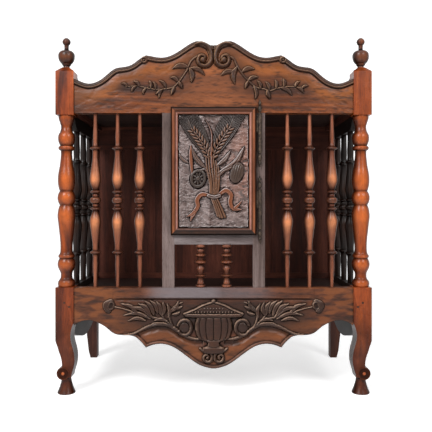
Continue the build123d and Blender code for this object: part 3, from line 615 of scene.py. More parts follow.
def carved_board(
    name, carving, columns, lower, upper, rows, face_y, back_y, material, tints, polish_and_sheen_flats, rubbing_and_highlight
):
    """A closed board whose front is the carving, between a lower and an upper outline."""
    count = len(columns)
    lower, upper = (np.broadcast_to(edge, count) for edge in (lower, upper))
    x = np.repeat(columns[:, None], rows, 1)
    z = lower[:, None] + (upper - lower)[:, None] * np.linspace(0, 1, rows)
    height = carving.at(carving.height, x, z)
    front = np.stack([x / 1000, face_y - height / 1000, z / 1000], 2).reshape(-1, 3)
    back = [
        np.stack([columns / 1000, np.full(count, back_y), edge / 1000], 1) for edge in (lower, upper)
    ]
    corner = np.arange(count * rows).reshape(count, rows)
    low, high = count * rows + np.arange(count), count * rows + count + np.arange(count)

    def quads(a, b, c, d):
        return np.stack([a, b, c, d], -1).reshape(-1, 4).tolist()

    faces = quads(corner[:-1, :-1], corner[1:, :-1], corner[1:, 1:], corner[:-1, 1:])
    faces += quads(corner[:-1, -1], corner[1:, -1], high[1:], high[:-1])
    faces += quads(corner[1:, 0], corner[:-1, 0], low[:-1], low[1:])
    faces += quads(low[:-1], high[:-1], high[1:], low[1:])
    faces.append(corner[0].tolist() + [int(high[0]), int(low[0])])
    faces.append(corner[-1, ::-1].tolist() + [int(low[-1]), int(high[-1])])
    mesh = bpy.data.meshes.new(name)
    mesh.from_pydata(np.vstack([front, *back]).tolist(), [], faces)
    mesh.shade_smooth()
    rim = np.zeros(len(mesh.vertices), bool)
    rim[np.concatenate([corner[0], corner[-1], corner[:, 0], corner[:, -1], low, high])] = True
    ends = np.empty(len(mesh.edges) * 2, int)
    mesh.edges.foreach_get("vertices", ends)
    sharp = mesh.attributes.new("sharp_edge", "BOOLEAN", "EDGE")
    sharp.data.foreach_set("value", rim[ends].reshape(-1, 2).all(1))

    # Dark wax and painted shade in the hollows: their reach in millimetres, and the depth at which
    # they are full, in quirks and in grounds
    quirk_reach, quirk_depth = 2.5, 0.7
    ground_reach, ground_depth = 8, 2.2
    stroke_share, ridge_height, hidden_sheen = 0.55, 0.4, 0.06
    shape = carving.height - stroke_share * carving.marks * (carving.kind == 0)
    fine, wide = (carving.softened(shape, reach, reach) for reach in (quirk_reach, ground_reach))
    # Painted highlight and wear on the ridges, strongest on slopes that face left and up, towards the
    # brighter lamp
    leftward_sheen, upward_sheen, least_slope, most_sheen = 0.7, 0.9, 0.1, 1.2
    rightward, upward = np.gradient(shape, carving.step)
    lit_slopes = leftward_sheen * rightward - upward_sheen * upward - least_slope
    flats = np.where(carving.kind == 0, polish_and_sheen_flats, hidden_sheen)
    polish_and_highlight = np.maximum(np.clip(lit_slopes, 0, most_sheen), flats)
    ridges = np.clip((shape - fine) / ridge_height, 0, 1) ** 1.5
    for title, values in (
        ("wax_and_shade", (fine - shape) / quirk_depth + (wide - shape) / ground_depth),
        ("polish_and_sheen", ridges * polish_and_highlight * np.array(rubbing_and_highlight)[carving.kind]), *tints,
    ):
        shown = np.zeros(len(mesh.vertices))
        shown[: count * rows] = np.clip(carving.at(values, x, z), 0, 1).ravel()
        paint(mesh, title, shown)
    mesh.materials.append(material)
    return put_in_scene(name, mesh)


def sawn_edge(node, above=-1.0, below=2.0):
    """Outline of a rail in millimetres, from its flat back, left to right."""
    flat_within = 0.0001
    place = corners(nodes[node].data)
    flat = place[:, 1] > place[:, 1].max() - flat_within
    kept = flat & (place[:, 2] > above) & (place[:, 2] < below)
    edge = place[kept][:, [0, 2]] * 1000
    return edge[np.argsort(edge[:, 0])]


# Thickness and edge band of a board in metres, then its half width and raster in millimetres
rail_thickness, edge_band = 0.028, 0.03
bay, carved_step = 372.0, 1.2
board_columns = 540
crest_low, crest_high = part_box("crest_rail")
crest_back = crest_high.y
crest_face = crest_back - rail_thickness
crest = Carving(-bay, bay, crest_low.z * 1000, crest_high.z * 1000, carved_step)
crest_edge = sawn_edge("crest_rail", above=crest_low.z + edge_band)
columns = np.linspace(-bay, bay, board_columns)
crest_top = np.interp(columns, *crest_edge.T)
crest.gouge(3, 900, 16, 5, 0.22, 0.0)

# Twigs of the two branches, left and right, from the scrolls outward
branches = (
    [
        (-43, 901), (-57, 891), (-65, 878), (-70, 865), (-83, 845), (-93, 832), (-106, 819),
        (-126, 814), (-151, 812), (-177, 816), (-205, 822), (-233, 819),
    ],
    [
        (41, 901), (54, 893), (61, 878), (72, 860), (82, 847), (93, 836), (105, 824), (116, 817),
        (136, 813), (151, 809), (166, 814), (187, 819), (209, 820), (238, 816),
    ],
)
# Where each leaf or olive joins its twig, its tip and its half width
crest_leaves = [
    ((-67, 872), (-110, 868), 6.4), ((-93, 833), (-115, 845), 4.5), ((-126, 816), (-145, 837), 3.4),
    ((-64, 869), (-59, 831), 6.1), ((-60, 870), (-24, 851), 5.1), ((-167, 815), (-171, 836), 3.6),
    ((-154, 813), (-161, 833), 3.4), ((-179, 816), (-187, 799), 3.4), ((-197, 821), (-213, 835), 3.6),
    ((-205, 822), (-218, 805), 3.4), ((-134, 813), (-145, 789), 3.5), ((-228, 820), (-246, 829), 3.2),
    ((56, 860), (19, 850), 5.8), ((61, 872), (56, 827), 6.4), ((76, 860), (109, 867), 5.6),
    ((92, 836), (119, 845), 4.8), ((107, 822), (111, 785), 4.2), ((179, 817), (209, 796), 4.6),
    ((126, 815), (116, 836), 4.0), ((149, 811), (138, 833), 4.2), ((166, 814), (164, 838), 4.0),
    ((187, 819), (184, 842), 4.0), ((217, 819), (230, 835), 3.8), ((222, 818), (240, 802), 3.8),
    ((234, 816), (252, 822), 3.2),
]
crest_olives = [
    ((-92, 833), (-83, 815), 4.6), ((-104, 818), (-113, 798), 4.4), ((-135, 813), (-154, 799), 4.4),
    ((92, 835), (84, 815), 4.4), ((142, 809), (150, 787), 5.4),
]
for twig in branches:
    crest.lay(twig, (2.6, 2.2, 2.0, 1.8, 1.2), 3.2)
for base, tip, half_width in crest_leaves:
    leaf(crest, base, tip, 1.15 * half_width, 5.5, 0.14 if tip[0] > base[0] else -0.14)
for base, tip, half_width in crest_olives:
    leaf(crest, base, tip, 1.1 * half_width, 6.5, 0.0, round_section)

edge_distance = crest.from_edge(crest_edge)
crest_bead = (
    (0, -2.5), (1.5, -0.4), (4, 1.2), (6.5, 1.6), (7.6, 0.4), (8.8, 3.0), (10.2, 3.8), (11.6, 2.8),
    (12.8, -0.6), (14.5, -1.8), (18, -0.8), (24, -0.2), (30, 0.0),
)
crest.height += np.interp(edge_distance, *zip(*crest_bead))
scroll = [
    (52, 931), (42, 935), (31, 935.5), (20, 931), (11, 921), (6, 907), (5.5, 893), (10, 882),
    (19, 875.5), (30, 875.5), (38, 881), (41, 890), (38.5, 899), (32, 903.5), (25, 901), (22, 896),
]
scroll_band = (1.0, 5.0, 7.0, 7.5, 7.5, 7.5, 7.0, 6.5, 6, 5.6, 5.4, 5, 4.4)
scroll_bead = (0.5, 2.4, 3.6, 4.0, 4.2, 4.2, 4.0, 3.8, 3.6, 3.2, 2.8, 2.4)
curl = [(185 + 6.5 * math.cos(a), 891 + 6.5 * math.sin(a)) for a in np.linspace(1.2, 6.4, 12)]
for turn in (-1, 1):
    crest.lay(mirrored(scroll, turn), scroll_band, 4.2, flat_section, quirk=2.6)
    crest.lay(mirrored(scroll, turn), scroll_bead, 4.2, over=True)
    crest.lay(mirrored([(28, 890), (28, 891)], turn), 7.6, 10.5, quirk=2.0)
crest.lay([(0, 944), (0, 925), (0, 905)], (2.6, 2.0, 0.6), -3.0, over=True)
for turn in (-1, 1):
    crest.lay(mirrored(curl, turn), (3.2, 3.0, 2.8, 2.4, 1.6), 5.5, quirk=2.0)
    crest.lay(mirrored([(185, 890.5), (185, 891.5)], turn), 2.6, 5.0)

carved_near = sum(bell(crest.near(twig)[0], 0, 34) for twig in branches)
mottled = np.clip(0.26 * crest.blotches(17, 26, 7) + 0.26 * crest.blotches(18, 9, 2.4), 0, 0.75)
crest_tints = (
    ("dulled", 0.4 * bell(crest.x, 0, 130, 4)),
    ("golden", 0.6 * bell(edge_distance, 34, 16)),
    ("shade_and_dark_tone", np.maximum.reduce([
        0.75 * np.clip(carved_near, 0, 1), 0.92 * (edge_distance < 14), 0.95 * (crest.kind > 0),
        mottled, 0.6 * bell(crest.x, -bay, 62),
    ])),
)
walnut = rgb(62, 28, 13), rgb(132, 70, 34), rgb(180, 102, 52)
# Its pale tone is wear and a painted highlight on the ridges, its hollow tone wax and painted shade
carved_walnut = wood(
    "carved_walnut", *walnut, "x", 0.28, 0.3, rgb(18, 8, 5), rgb(204, 158, 122), 0.85,
    (("dulled", rgb(134, 84, 56)), ("golden", rgb(158, 90, 38)), ("shade_and_dark_tone", rgb(32, 17, 10))),
)
crest_piece = carved_board(
    "carved_crest", crest, columns, crest_low.z * 1000, crest_top, 120,
    crest_face, crest_back, carved_walnut, crest_tints, 0.2, (0.7, 0.85),
)
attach(crest_piece, "cabinet")
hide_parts("crest_rail")


# Apron rail: the lower board of the front, carved with a covered urn, its ring handles on leafy
# sprays, and a raised wave that meets two small scrolls over the point of the outline.
apron_low, apron_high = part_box("apron_rail")
apron_back = apron_high.y
apron_face = apron_back - rail_thickness
apron = Carving(-bay, bay, apron_low.z * 1000, apron_high.z * 1000, carved_step)
apron_edge = sawn_edge("apron_rail", below=apron_high.z - edge_band)
apron_bottom = np.interp(columns, *apron_edge.T)
apron.gouge(5, 1100, 15, 5, 0.3, 0.0)
from_middle = np.abs(apron.x)
apron_edge_distance = apron.from_edge(apron_edge)
apron_bead = (
    (0, -3.0), (1, -0.4), (2.2, 1.6), (4, 2.6), (6, 2.2), (7.4, 0.6), (8.6, -1.2), (10, -0.9),
    (14, -0.3), (20, 0.0),
)
lobe = np.clip((235 - from_middle) / 20, 0, 1)
rounded = np.interp(apron_edge_distance, (0, 1, 3), (-2.4, -0.8, 0))
apron.height += lobe * np.interp(apron_edge_distance, *zip(*apron_bead)) + (1 - lobe) * rounded

under_sill = np.clip((268 - from_middle) / 12, 0, 1)
apron.height += 2.6 * np.clip((apron.z - 255) / 3, 0, 1) * under_sill
apron.height -= 1.6 * bell(apron.z, 253, 3) * under_sill
wave = [
    (249, 160), (230, 160.7), (211, 163.8), (183, 177), (167, 183.4), (148, 187.5), (123, 186),
    (104, 176), (79, 158), (50, 148), (28, 151),
]
sprays = [
    [(109, 183), (126, 197), (140, 214), (153, 235)],
    [(109, 183), (116, 202), (115, 221), (101, 238), (83, 246)],
    [(109, 184), (135, 191), (157, 191), (167, 186)],
    [(126, 197), (160, 206), (200, 216), (236, 228), (262, 234)],
]
apron_leaves = [
    ((200, 214), (247, 243), 5.4), ((180, 198), (228, 197), 5.2), ((167, 202), (240, 212), 5.4),
    ((158, 202), (226, 234), 6.6), ((167, 214), (201, 243), 6.2), ((158, 211), (184, 251), 6.4),
    ((148, 217), (168, 251), 6.2), ((140, 214), (152, 249), 6.0), ((122, 196), (160, 197), 4.8),
    ((136, 211), (135, 248), 6.0), ((120, 205), (124, 243), 5.4), ((112, 221), (93, 251), 5.4),
    ((106, 232), (82, 236), 4.6), ((110, 214), (88, 222), 4.4),
]
ring = [
    (77 + 18 * math.cos(a), 179 + 20 * math.sin(a)) for a in np.linspace(0.3, 2 * math.pi - 0.5, 17)
]
scroll_end = [
    (36, 124), (25, 115), (11, 113), (3.5, 104), (6, 92), (15, 87.5), (24, 92), (26, 101.5),
    (19, 107), (13, 102),
]
wave_band = (0.8, 2.6, 4.0, 5.0, 5.2, 5.0, 4.8, 4.2, 2.8)
# Line, half widths, height, section and way of each shape that is laid after the leaves
beside_urn = (
    ([(274, 246), (283, 238), (280, 226)], (9, 12, 9), 5.5, round_section, {"quirk": 2.4}),
    ([(271, 240), (273, 234)], 8.5, 6.5, flat_section, {"quirk": 2.0}),
    ([(271, 240), (273, 234)], 6.0, -5.0, round_section, {"over": True}),
    ([(77, 178), (77, 180)], 14.5, 4.0, round_section, {}),
    (ring, (3.6, 4.6, 4.8, 4.6, 3.6), 7.5, round_section, {"quirk": 2.2}),
    (scroll_end, (2.6, 3.8, 4.2, 4.2, 4.0, 3.4, 3.0), 6.5, round_section, {"quirk": 2.4}),
    ([(15.5, 98), (15.5, 99)], 4.4, 7.0, round_section, {}),
)
for turn in (-1, 1):
    shelf = np.interp(apron.x * turn, *zip(*wave[::-1]), -1e3, -1e3)
    below = np.clip((shelf - apron.z) / 24, 0, 1) * (apron.z < shelf)
    apron.height -= 4.0 * np.sin(below * math.pi) ** 2 * (below > 0)
    apron.lay(mirrored(wave, turn), wave_band, 5.6, quirk=2.4)
    for twig in sprays:
        apron.lay(mirrored(twig, turn), (2.8, 2.4, 1.6), 4.4)
    for base, tip, half_width in apron_leaves:
        leaf(apron, *mirrored([base, tip], turn), half_width, 6.0, 0.13 * turn)
    for points, half_widths, height, section, way in beside_urn:
        apron.lay(mirrored(points, turn), half_widths, height, section, **way)

urn_half = np.interp(
    apron.z, (112, 117, 126, 128, 131, 138, 143, 146, 150, 158, 172, 190, 203, 206, 208, 214, 216),
    (24, 28, 28, 22, 15, 14, 17, 30, 39, 44, 48, 49, 45, 45, 74, 80, 78), 0, 0,
)
in_bowl = (apron.z > 148) & (apron.z < 206)
urn_share = np.clip(from_middle / np.maximum(urn_half, 1), 0, 1)
gadroons = np.abs(np.sin(np.arcsin(np.clip(apron.x / np.maximum(urn_half, 1), -1, 1)) * 7)) ** 0.6
urn_body = (6.0 + 6.5 * np.sqrt(1 - urn_share**2)) - in_bowl * 4.4 * (1 - gadroons)
for groove in (207, 147, 129):
    urn_body -= 2.6 * bell(apron.z, groove, 1.3)
in_urn = (urn_share < 1) & (urn_half > 0)
apron.height = np.where(in_urn, np.maximum(apron.height, urn_body), apron.height)
lid_low, lid_rim, lid_rise, lid_half = 215, 216, 28, 78
lid_top = lid_rim + lid_rise * np.clip(1 - (from_middle / lid_half) ** 1.5, 0, 1)
lid_share = np.clip((apron.z - lid_low) / np.maximum(lid_top - lid_low, 0.5), 0, 1)
in_lid = (apron.z > lid_low) & (apron.z < lid_top) & (from_middle < lid_half)
lid_body = 3.0 + 3.0 * np.sqrt(1 - lid_share**2)
apron.height = np.where(in_lid, np.maximum(apron.height, lid_body), apron.height)
lid_line = [(-78, 216), (-52, 226), (-26, 239), (0, 246), (26, 239), (52, 226), (78, 216)]
apron.lay(lid_line, 2.8, 9.5, quirk=2.6)
for bead in np.arange(-56, 57, 8):
    apron.lay([(bead, 220.5), (bead + 0.5, 220.5)], 3.0, 9.0)
for bead in np.arange(-24, 25, 8):
    apron.lay([(bead, 230), (bead + 0.5, 230)], 3.0, 8.0, leaf_section)
apron.lay([(-1, 249), (1, 249)], 5.0, 10.0)

in_front = np.clip(1 - (from_middle / 285) ** 6, 0, 1)
stains = apron.blotches(27, 26, 8)
stained = np.clip(0.3 * stains + 0.2 * apron.blotches(28, 9, 2.4), 0, 0.75)
apron_tints = (
    ("golden", np.maximum(
        0.6 * bell(apron_edge_distance, 26, 15) * (apron.z < 200),
        0.5 * np.clip(0.5 - stains, 0, 1) * (1 - in_front),
    )),
    ("shade_and_dark_tone", np.maximum.reduce([
        0.85 * bell(apron.z, 208, 44, 4) * in_front, 0.9 * (apron.kind > 0), 0.8 * in_urn, stained,
    ])),
    ("greyed", np.clip((apron.z - 256) / 4, 0, 1) * np.maximum(
        0.95 * bell(apron.x, -70, 100, 6), 0.5 * bell(apron.x, 60, 90, 4)
    )),
)
# Its pale tone is wear and a painted highlight on the ridges, its hollow tone wax and painted shade
umber_walnut = wood(
    "umber_walnut", rgb(50, 24, 13), rgb(98, 54, 34), rgb(138, 82, 50), "x", 0.28, 0.3,
    rgb(10, 5, 3), rgb(192, 158, 136), 0.85,
    (("golden", rgb(134, 76, 38)), ("shade_and_dark_tone", rgb(30, 17, 11)), ("greyed", rgb(118, 108, 110))),
)
apron_piece = carved_board(
    "carved_apron", apron, columns, apron_bottom, apron_high.z * 1000, 140,
    apron_face, apron_back, umber_walnut, apron_tints, 0.2, (0.8, 1.0),
)
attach(apron_piece, "cabinet")
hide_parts("apron_rail")


# Stiles and sill: flat uprights and a short rail that frame the door. Handled every day, they
# have lost their polish and gone grey.
greyed_upright = wood(
    "greyed_walnut_upright", rgb(80, 62, 56), rgb(120, 102, 98), rgb(150, 134, 130), "z", 0.42, 0.3,
    shade, rgb(190, 170, 160), 0.4,
)
greyed_across = wood(
    "greyed_walnut_across", rgb(84, 72, 70), rgb(130, 118, 118), rgb(158, 148, 148), "x", 0.42, 0.3,
    shade, rgb(190, 170, 160), 0.4,
)
finish_with(greyed_upright, "left_door_stile", "right_door_stile")
finish_with(greyed_across, "door_sill_rail")


# Spindles: long ones in the front and the sides, short ones under the sill, all turned from
# walnut and held by round tenons, so that air reaches the bread.
row_tree = bpy.data.node_groups.new("row_of_turnings", "GeometryNodeTree")
for title, kind in (
    ("Outline", "Geometry"), ("Sides", "Int"), ("Count", "Int"), ("First place", "Vector"),
    ("Spacing", "Vector"), ("Finish", "Material"),
):
    row_tree.interface.new_socket(title, in_out="INPUT", socket_type=f"NodeSocket{kind}")
row_tree.interface.new_socket("Turnings", in_out="OUTPUT", socket_type="NodeSocketGeometry")
row_in = add(row_tree, "NodeGroupInput")
row_out = add(row_tree, "NodeGroupOutput")
outline_curve = add(row_tree, "GeometryNodeMeshToCurve")
where = add(row_tree, "GeometryNodeInputPosition")
outline_place = add(row_tree, "ShaderNodeSeparateXYZ")
widen = add(row_tree, "GeometryNodeSetCurveRadius")
radius_here = add(row_tree, "GeometryNodeInputRadius")
to_axis = add(row_tree, "GeometryNodeSetPosition")
axis_place = add(row_tree, "ShaderNodeCombineXYZ")
circle = add(row_tree, "GeometryNodeCurvePrimitiveCircle", Radius=1)
lathe = add(row_tree, "GeometryNodeCurveToMesh", Fill_Caps=True)
places = add(row_tree, "GeometryNodeMeshLine")
put = add(row_tree, "GeometryNodeInstanceOnPoints")
realize = add(row_tree, "GeometryNodeRealizeInstances")
set_finish = add(row_tree, "GeometryNodeSetMaterial")
join(
    row_tree,
    (row_in, "Outline", outline_curve, "Mesh"),
    (where, 0, outline_place, 0),
    (outline_curve, "Curve", widen, "Curve"),
    (outline_place, "X", widen, "Radius"),
    (widen, "Curve", to_axis, "Geometry"),
    (outline_place, "Z", axis_place, "Z"),
    (axis_place, 0, to_axis, "Position"),
    (to_axis, "Geometry", lathe, "Curve"),
    (radius_here, 0, lathe, "Scale"),
    (row_in, "Sides", circle, "Resolution"),
    (circle, "Curve", lathe, "Profile Curve"),
    (row_in, "Count", places, "Count"),
    (row_in, "First place", places, "Start Location"),
    (row_in, "Spacing", places, "Offset"),
    (places, "Mesh", put, "Points"),
    (lathe, "Mesh", put, "Instance"),
    (put, "Instances", realize, "Geometry"),
    (realize, "Geometry", set_finish, "Geometry"),
    (row_in, "Finish", set_finish, "Material"),
    (set_finish, "Geometry", row_out, "Turnings"),
)


def turned_row(name, turning_nodes, material, ring_tone):
    """A row of like turnings, with the outline and the places of their CAD nodes."""
    outline_within = 0.00004
    sides_round = 28
    quirk_angle = math.radians(38)
    boxes = [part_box(node) for node in turning_nodes]
    centres = [((low.x + high.x) / 2, (low.y + high.y) / 2) for low, high in boxes]
    place = corners(nodes[turning_nodes[0]].data)
    radius = np.hypot(place[:, 0] - centres[0][0], place[:, 1] - centres[0][1])
    levels = {}
    for z, r in zip(place[:, 2].round(5), radius):
        levels[z] = max(levels.get(z, 0), r)
    heights = np.array(sorted(levels))
    radii = np.array([levels[z] for z in heights])
    kept = [0]
    for level in range(2, len(heights)):
        ends, skipped = [kept[-1], level], slice(kept[-1] + 1, level)
        straight = np.interp(heights[skipped], heights[ends], radii[ends])
        if np.abs(straight - radii[skipped]).max() > outline_within:
            kept.append(level - 1)
    kept.append(len(heights) - 1)
    heights, radii = heights[kept], radii[kept]
    outline = [(r, 0, z - heights[0]) for r, z in zip(radii, heights)]
    base = bpy.data.meshes.new(name)
    base.from_pydata(outline, [(i, i + 1) for i in range(len(outline) - 1)], [])
    row = put_in_scene(name, base)
    modifier = row.modifiers.new("row", "NODES")
    modifier.node_group = row_tree
    step = (centres[1][0] - centres[0][0], centres[1][1] - centres[0][1], 0)
    values = {
        "Sides": sides_round, "Count": len(turning_nodes), "First place": (*centres[0], boxes[0][0].z),
        "Spacing": step, "Finish": material,
    }
    for item in row_tree.interface.items_tree:
        if item.in_out == "INPUT" and item.name in values:
            modifier[item.identifier] = values[item.name]
    bpy.context.view_layer.update()
    graph = bpy.context.evaluated_depsgraph_get()
    mesh = bpy.data.meshes.new_from_object(row.evaluated_get(graph))
    row.modifiers.remove(modifier)
    row.data = mesh
    mesh.name = name
    mesh.shade_smooth()
    paint_turning(mesh, heights, radii, ring_tone)
    mesh.set_sharp_from_angle(angle=quirk_angle)
    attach(row, "cabinet")
    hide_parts(*turning_nodes)


# Front and sill spindles: a painted highlight on swellings that face the front, painted shade on the
# cheeks
spindle_walnut = wood(
    "spindle_walnut", rgb(84, 42, 27), rgb(146, 84, 58), rgb(182, 112, 80), "z", 0.24, 0.22,
    rgb(34, 13, 7), rgb(250, 160, 106), 0.7, (("shade_and_dark_tone", rgb(38, 19, 12)),),
)
# The side spindles stand in the shade of the case and are coloured nearly black: painted shade
shade_and_dark_tone_spindle = wood(
    "shade_and_dark_tone_spindle_walnut", rgb(14, 7, 4), rgb(30, 15, 9), rgb(46, 24, 14), "z", 0.24, 0.22,
    rgb(8, 4, 2), rgb(80, 46, 28), 0.3,
)
for side in sides:
    for face, material in (("front", spindle_walnut), ("side", shade_and_dark_tone_spindle)):
        face_nodes = [f"{side}_{face}_spindle_{number}" for number in (1, 2, 3)]
        turned_row(f"{side}_{face}_spindles", face_nodes, material, 0.7)
turned_row("sill_spindles", ["sill_spindle_1", "sill_spindle_2"], spindle_walnut, 0.0)


# Side frames: scalloped rails between the front and back posts, tenoned and pegged. They were
# never polished, and their near-black colour is painted shade.
shade_and_dark_tone_fore_and_aft = wood(
    "shade_and_dark_tone_walnut_fore_and_aft", rgb(12, 6, 4), rgb(26, 14, 9), rgb(42, 23, 14), "y", 0.55, 0.3,
    rgb(8, 4, 2), rgb(80, 46, 28), 0.5,
)
for side in sides:
    finish_with(shade_and_dark_tone_fore_and_aft, f"{side}_side_top_rail", f"{side}_side_bottom_rail")


# Floor, top and pegs: loose boards laid on cleats inside the case, out of sight and never
# finished, and the wooden pegs that lock the mortise and tenon joints.
old_fore_and_aft = wood("old_wood_fore_and_aft", *old_tones, "y", 0.6, 0.5, shade, old_sheen, 0.5)
# The floor and top boards are coloured darker than the cleats: painted shade inside the case
shaded_across = wood(
    "shaded_wood_across", rgb(26, 13, 9), rgb(46, 24, 18), rgb(66, 36, 26), "x", 0.6, 0.5, shade,
    rgb(80, 50, 36), 0.5,
)
for level in ("floor", "top"):
    finish_with(shaded_across, *(f"{level}_board_{number}" for number in (1, 2, 3)))
    finish_with(old_fore_and_aft, *(f"{side}_{level}_cleat" for side in sides))
peg_wood = wood(
    "peg_wood", rgb(34, 18, 12), rgb(56, 30, 20), rgb(80, 46, 30), "x", 0.5, 0.3, shade,
    rgb(90, 60, 40), 0.3,
)
finish_with(peg_wood, "joint_pegs")


# Door panel: one board carved with a sheaf of wheat tied with a ribbon, a flower on each side.
# The ground is left rough from the gouge and has gone silver; the sheaf has kept its brown.
# Field in millimetres, then its depths behind the front of the CAD's panel in metres
field_left, field_right = -93.7, 93.7
field_bottom, field_top = 445.0, 745.0
plate_depth, field_depth, joint_gap = 0.0082, 0.0022, 0.0002
panel_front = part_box("door_panel")[0].y
plate_face = panel_front + plate_depth
field_face = panel_front + field_depth
plate = welded("door_panel_plate", "door_panel", greyed_upright, "door")
for vertex in plate.data.vertices:
    if vertex.co.y < plate_face:
        vertex.co.y = plate_face

plain, olive, amber, straw = 1, 2, 3, 4
panel = Carving(field_left, field_right, field_bottom, field_top, 0.8)
panel.gouge(11, 1100, 8.5, 2.6, 1.0, 0.3)
panel.gouge(12, 420, 20, 7, 1.7, -0.3)


def wheat_ear(axis, half_width, rows, tips, awns):
    """An ear of wheat: awns that fan out to a row of tips, and pairs of grains up the axis."""
    last_share, look_ahead = 0.97, 0.03
    line = smooth_line(axis, 10)
    lengths = np.concatenate([[0], np.cumsum(np.hypot(*np.diff(line, axis=0).T))])

    def on_axis(share):
        spot, ahead = (
            np.array([np.interp(s * lengths[-1], lengths, line[:, k]) for k in (0, 1)])
            for s in (min(share, last_share), min(share, last_share) + look_ahead)
        )
        along = (ahead - spot) / np.hypot(*(ahead - spot))
        return spot, along, np.array((along[1], -along[0]))

    first, last = np.array(tips, float)
    for number in range(awns):
        share = number / (awns - 1)
        spot, along, right = on_axis(0.2 + 0.75 * (1 - abs(2 * share - 1)))
        root = spot + right * (2 * share - 1) * half_width * 0.8
        tip = first + (last - first) * share
        bow = (root + tip) / 2 + right * (2 * share - 1) * 4
        panel.lay([root, bow, tip], (1.7, 1.6, 1.3, 0.7), 5.0, quirk=0.9, kind=olive)
    for row in range(rows):
        spot, along, right = on_axis((row + 0.3) / rows)
        swell = 0.75 + 0.25 * math.sin(math.pi * (row + 1) / (rows + 1))
        for side in (-1, 1):
            root = spot + right * side * half_width * 0.2
            tip = root + (along * 0.9 + right * side * 0.62) * half_width * 1.1 * swell
            bow = (root + tip) / 2 + right * side * 1.0
            panel.lay([root, bow, tip], (1.6, 3.4, 3.3, 0.9), 8.0, quirk=2.4, kind=straw)
        panel.lay([spot, spot + along * half_width * 0.8], (1.4, 2.6, 0.8), 8.6, kind=straw)


wheat_ear([(-12, 628), (-22, 655), (-40, 683), (-58, 706)], 14, 8, [(-95, 736), (-44, 746)], 17)
wheat_ear([(-4, 628), (8, 655), (24, 683), (44, 712)], 14, 8, [(24, 744), (84, 744)], 17)

stalks = [
    [(-20, 630), (-17, 598), (-10, 565), (-9, 530)], [(-14, 650), (-11, 604), (-6, 568), (-5.5, 530)],
    [(2, 640), (-3, 604), (0, 568), (-1.5, 530)], [(-2, 632), (3, 604), (5, 568), (2.5, 530)],
    [(6, 622), (8, 600), (9, 568), (6.5, 530)], [(12, 606), (14, 590), (14, 565), (10.5, 530)],
]
for stalk in stalks:
    panel.lay(stalk, (2.2, 3.0, 3.4, 3.0), 7.0, quirk=2.2, kind=straw)
panel.lay(
    [(-22, 732), (-12, 714), (-5, 690), (-6, 650), (-5, 604)], (0.8, 1.8, 2.4, 3.0, 3.0), 8.2,
    kind=amber,
)
cut_ends = [
    [(-6, 524), (3, 500), (11, 476)], [(-2, 524), (8, 500), (17, 473)],
    [(3, 524), (13, 500), (23, 472)], [(8, 524), (19, 500), (30, 474)],
]
for stalk in cut_ends:
    panel.lay(stalk, (2.8, 3.2, 3.8), 7.0, quirk=2.2, kind=straw)

leaf(panel, (-19, 600), (-61, 662), 6.4, 7.0, 0.08, kind=plain)
panel.lay(
    [(-60, 662), (-61, 640), (-59, 612), (-55, 568)], (2.0, 5.0, 5.0, 3.6, 0.8), 6.4, flat_section,
    kind=amber,
)
leaf(panel, (-66, 616), (-93, 644), 4.0, 4.6, kind=plain)
leaf(panel, (7, 608), (46, 651), 6.0, 6.0, -0.08, kind=plain)
leaf(panel, (12, 590), (82, 662), 8.0, 7.0, -0.14, kind=plain)
panel.lay([(11, 580), (22, 590), (36, 600), (50, 603), (60, 597)], (4.4, 3.0, 2.6, 2.0), 6.4)
panel.lay([(-13, 588), (-24, 599), (-34, 598)], (3.4, 2.8, 2.2), 6.4)

for (x, z), (wide, tall), lean, domed in (
    ((-41, 575), (21, 25), -0.2, False), ((62, 590), (17, 28), -0.3, True),
):
    dx, dz = panel.x - x, panel.z - z
    u = (dx * math.cos(lean) + dz * math.sin(lean)) / wide
    v = (dz * math.cos(lean) - dx * math.sin(lean)) / tall
    reach = np.hypot(u, v)
    around = np.arctan2(v, u)
    panel.height -= 2.4 * bell(reach, 1.06, 0.09)
    if domed:
        ribs = 1.1 * np.abs(np.sin(u * 9)) * (reach < 0.85)
        bloom = 3.5 + 5.0 * np.sqrt(np.clip(1 - reach**2, 0, 1)) - ribs
    else:
        rim = 7.6 - 2.0 * np.clip((reach - 0.82) / 0.18, 0, 1) ** 2
        bloom = np.where(reach > 0.72, rim, 3.2 + 2.6 * np.cos(around * 9) * reach * (reach < 0.66))
        bloom = np.where(reach < 0.24, 6.6, bloom)
    shown = reach < 1
    panel.height = np.where(shown, np.maximum(panel.height, bloom), panel.height)
    panel.kind[shown] = olive

ribbons = [
    (
        [(-13, 531), (-32, 533), (-44, 519), (-42, 502), (-53, 483), (-62, 462)],
        (5.0, 6.2, 6.6, 6.0, 6.2, 1.2),
    ),
    ([(-51, 487), (-61, 479), (-72, 474)], (5.0, 4.0, 1.0)),
    (
        [(15, 533), (32, 544), (46, 532), (44, 511), (52, 496), (75, 493)],
        (5.0, 6.4, 6.6, 6.2, 5.6, 1.2),
    ),
    ([(58, 498), (66, 506), (75, 517)], (5.0, 3.6, 1.0)),
]
knot = [(-13, 529), (2, 525.5), (16, 529)]
for points, half_widths in ribbons:
    panel.lay(points, half_widths, 6.6, flat_section, quirk=2.4, kind=amber)
    panel.lay(points, tuple(0.6 * w for w in half_widths), -1.5, over=True)
panel.lay(knot, 5.4, 10.0, flat_section, quirk=2.4, kind=plain)
panel.lay(knot, 1.4, -1.8, over=True)

frame_gap = np.minimum.reduce([
    panel.x - field_left, field_right - panel.x, panel.z - field_bottom, field_top - panel.z
])
quirk_end = 3.4
in_quirk = (frame_gap < quirk_end) & (panel.kind != olive)
cut = np.interp(frame_gap, (0, 2.4, quirk_end), (-4.0, -3.4, 3))
panel.height[in_quirk] = np.minimum(panel.height, cut)[in_quirk]
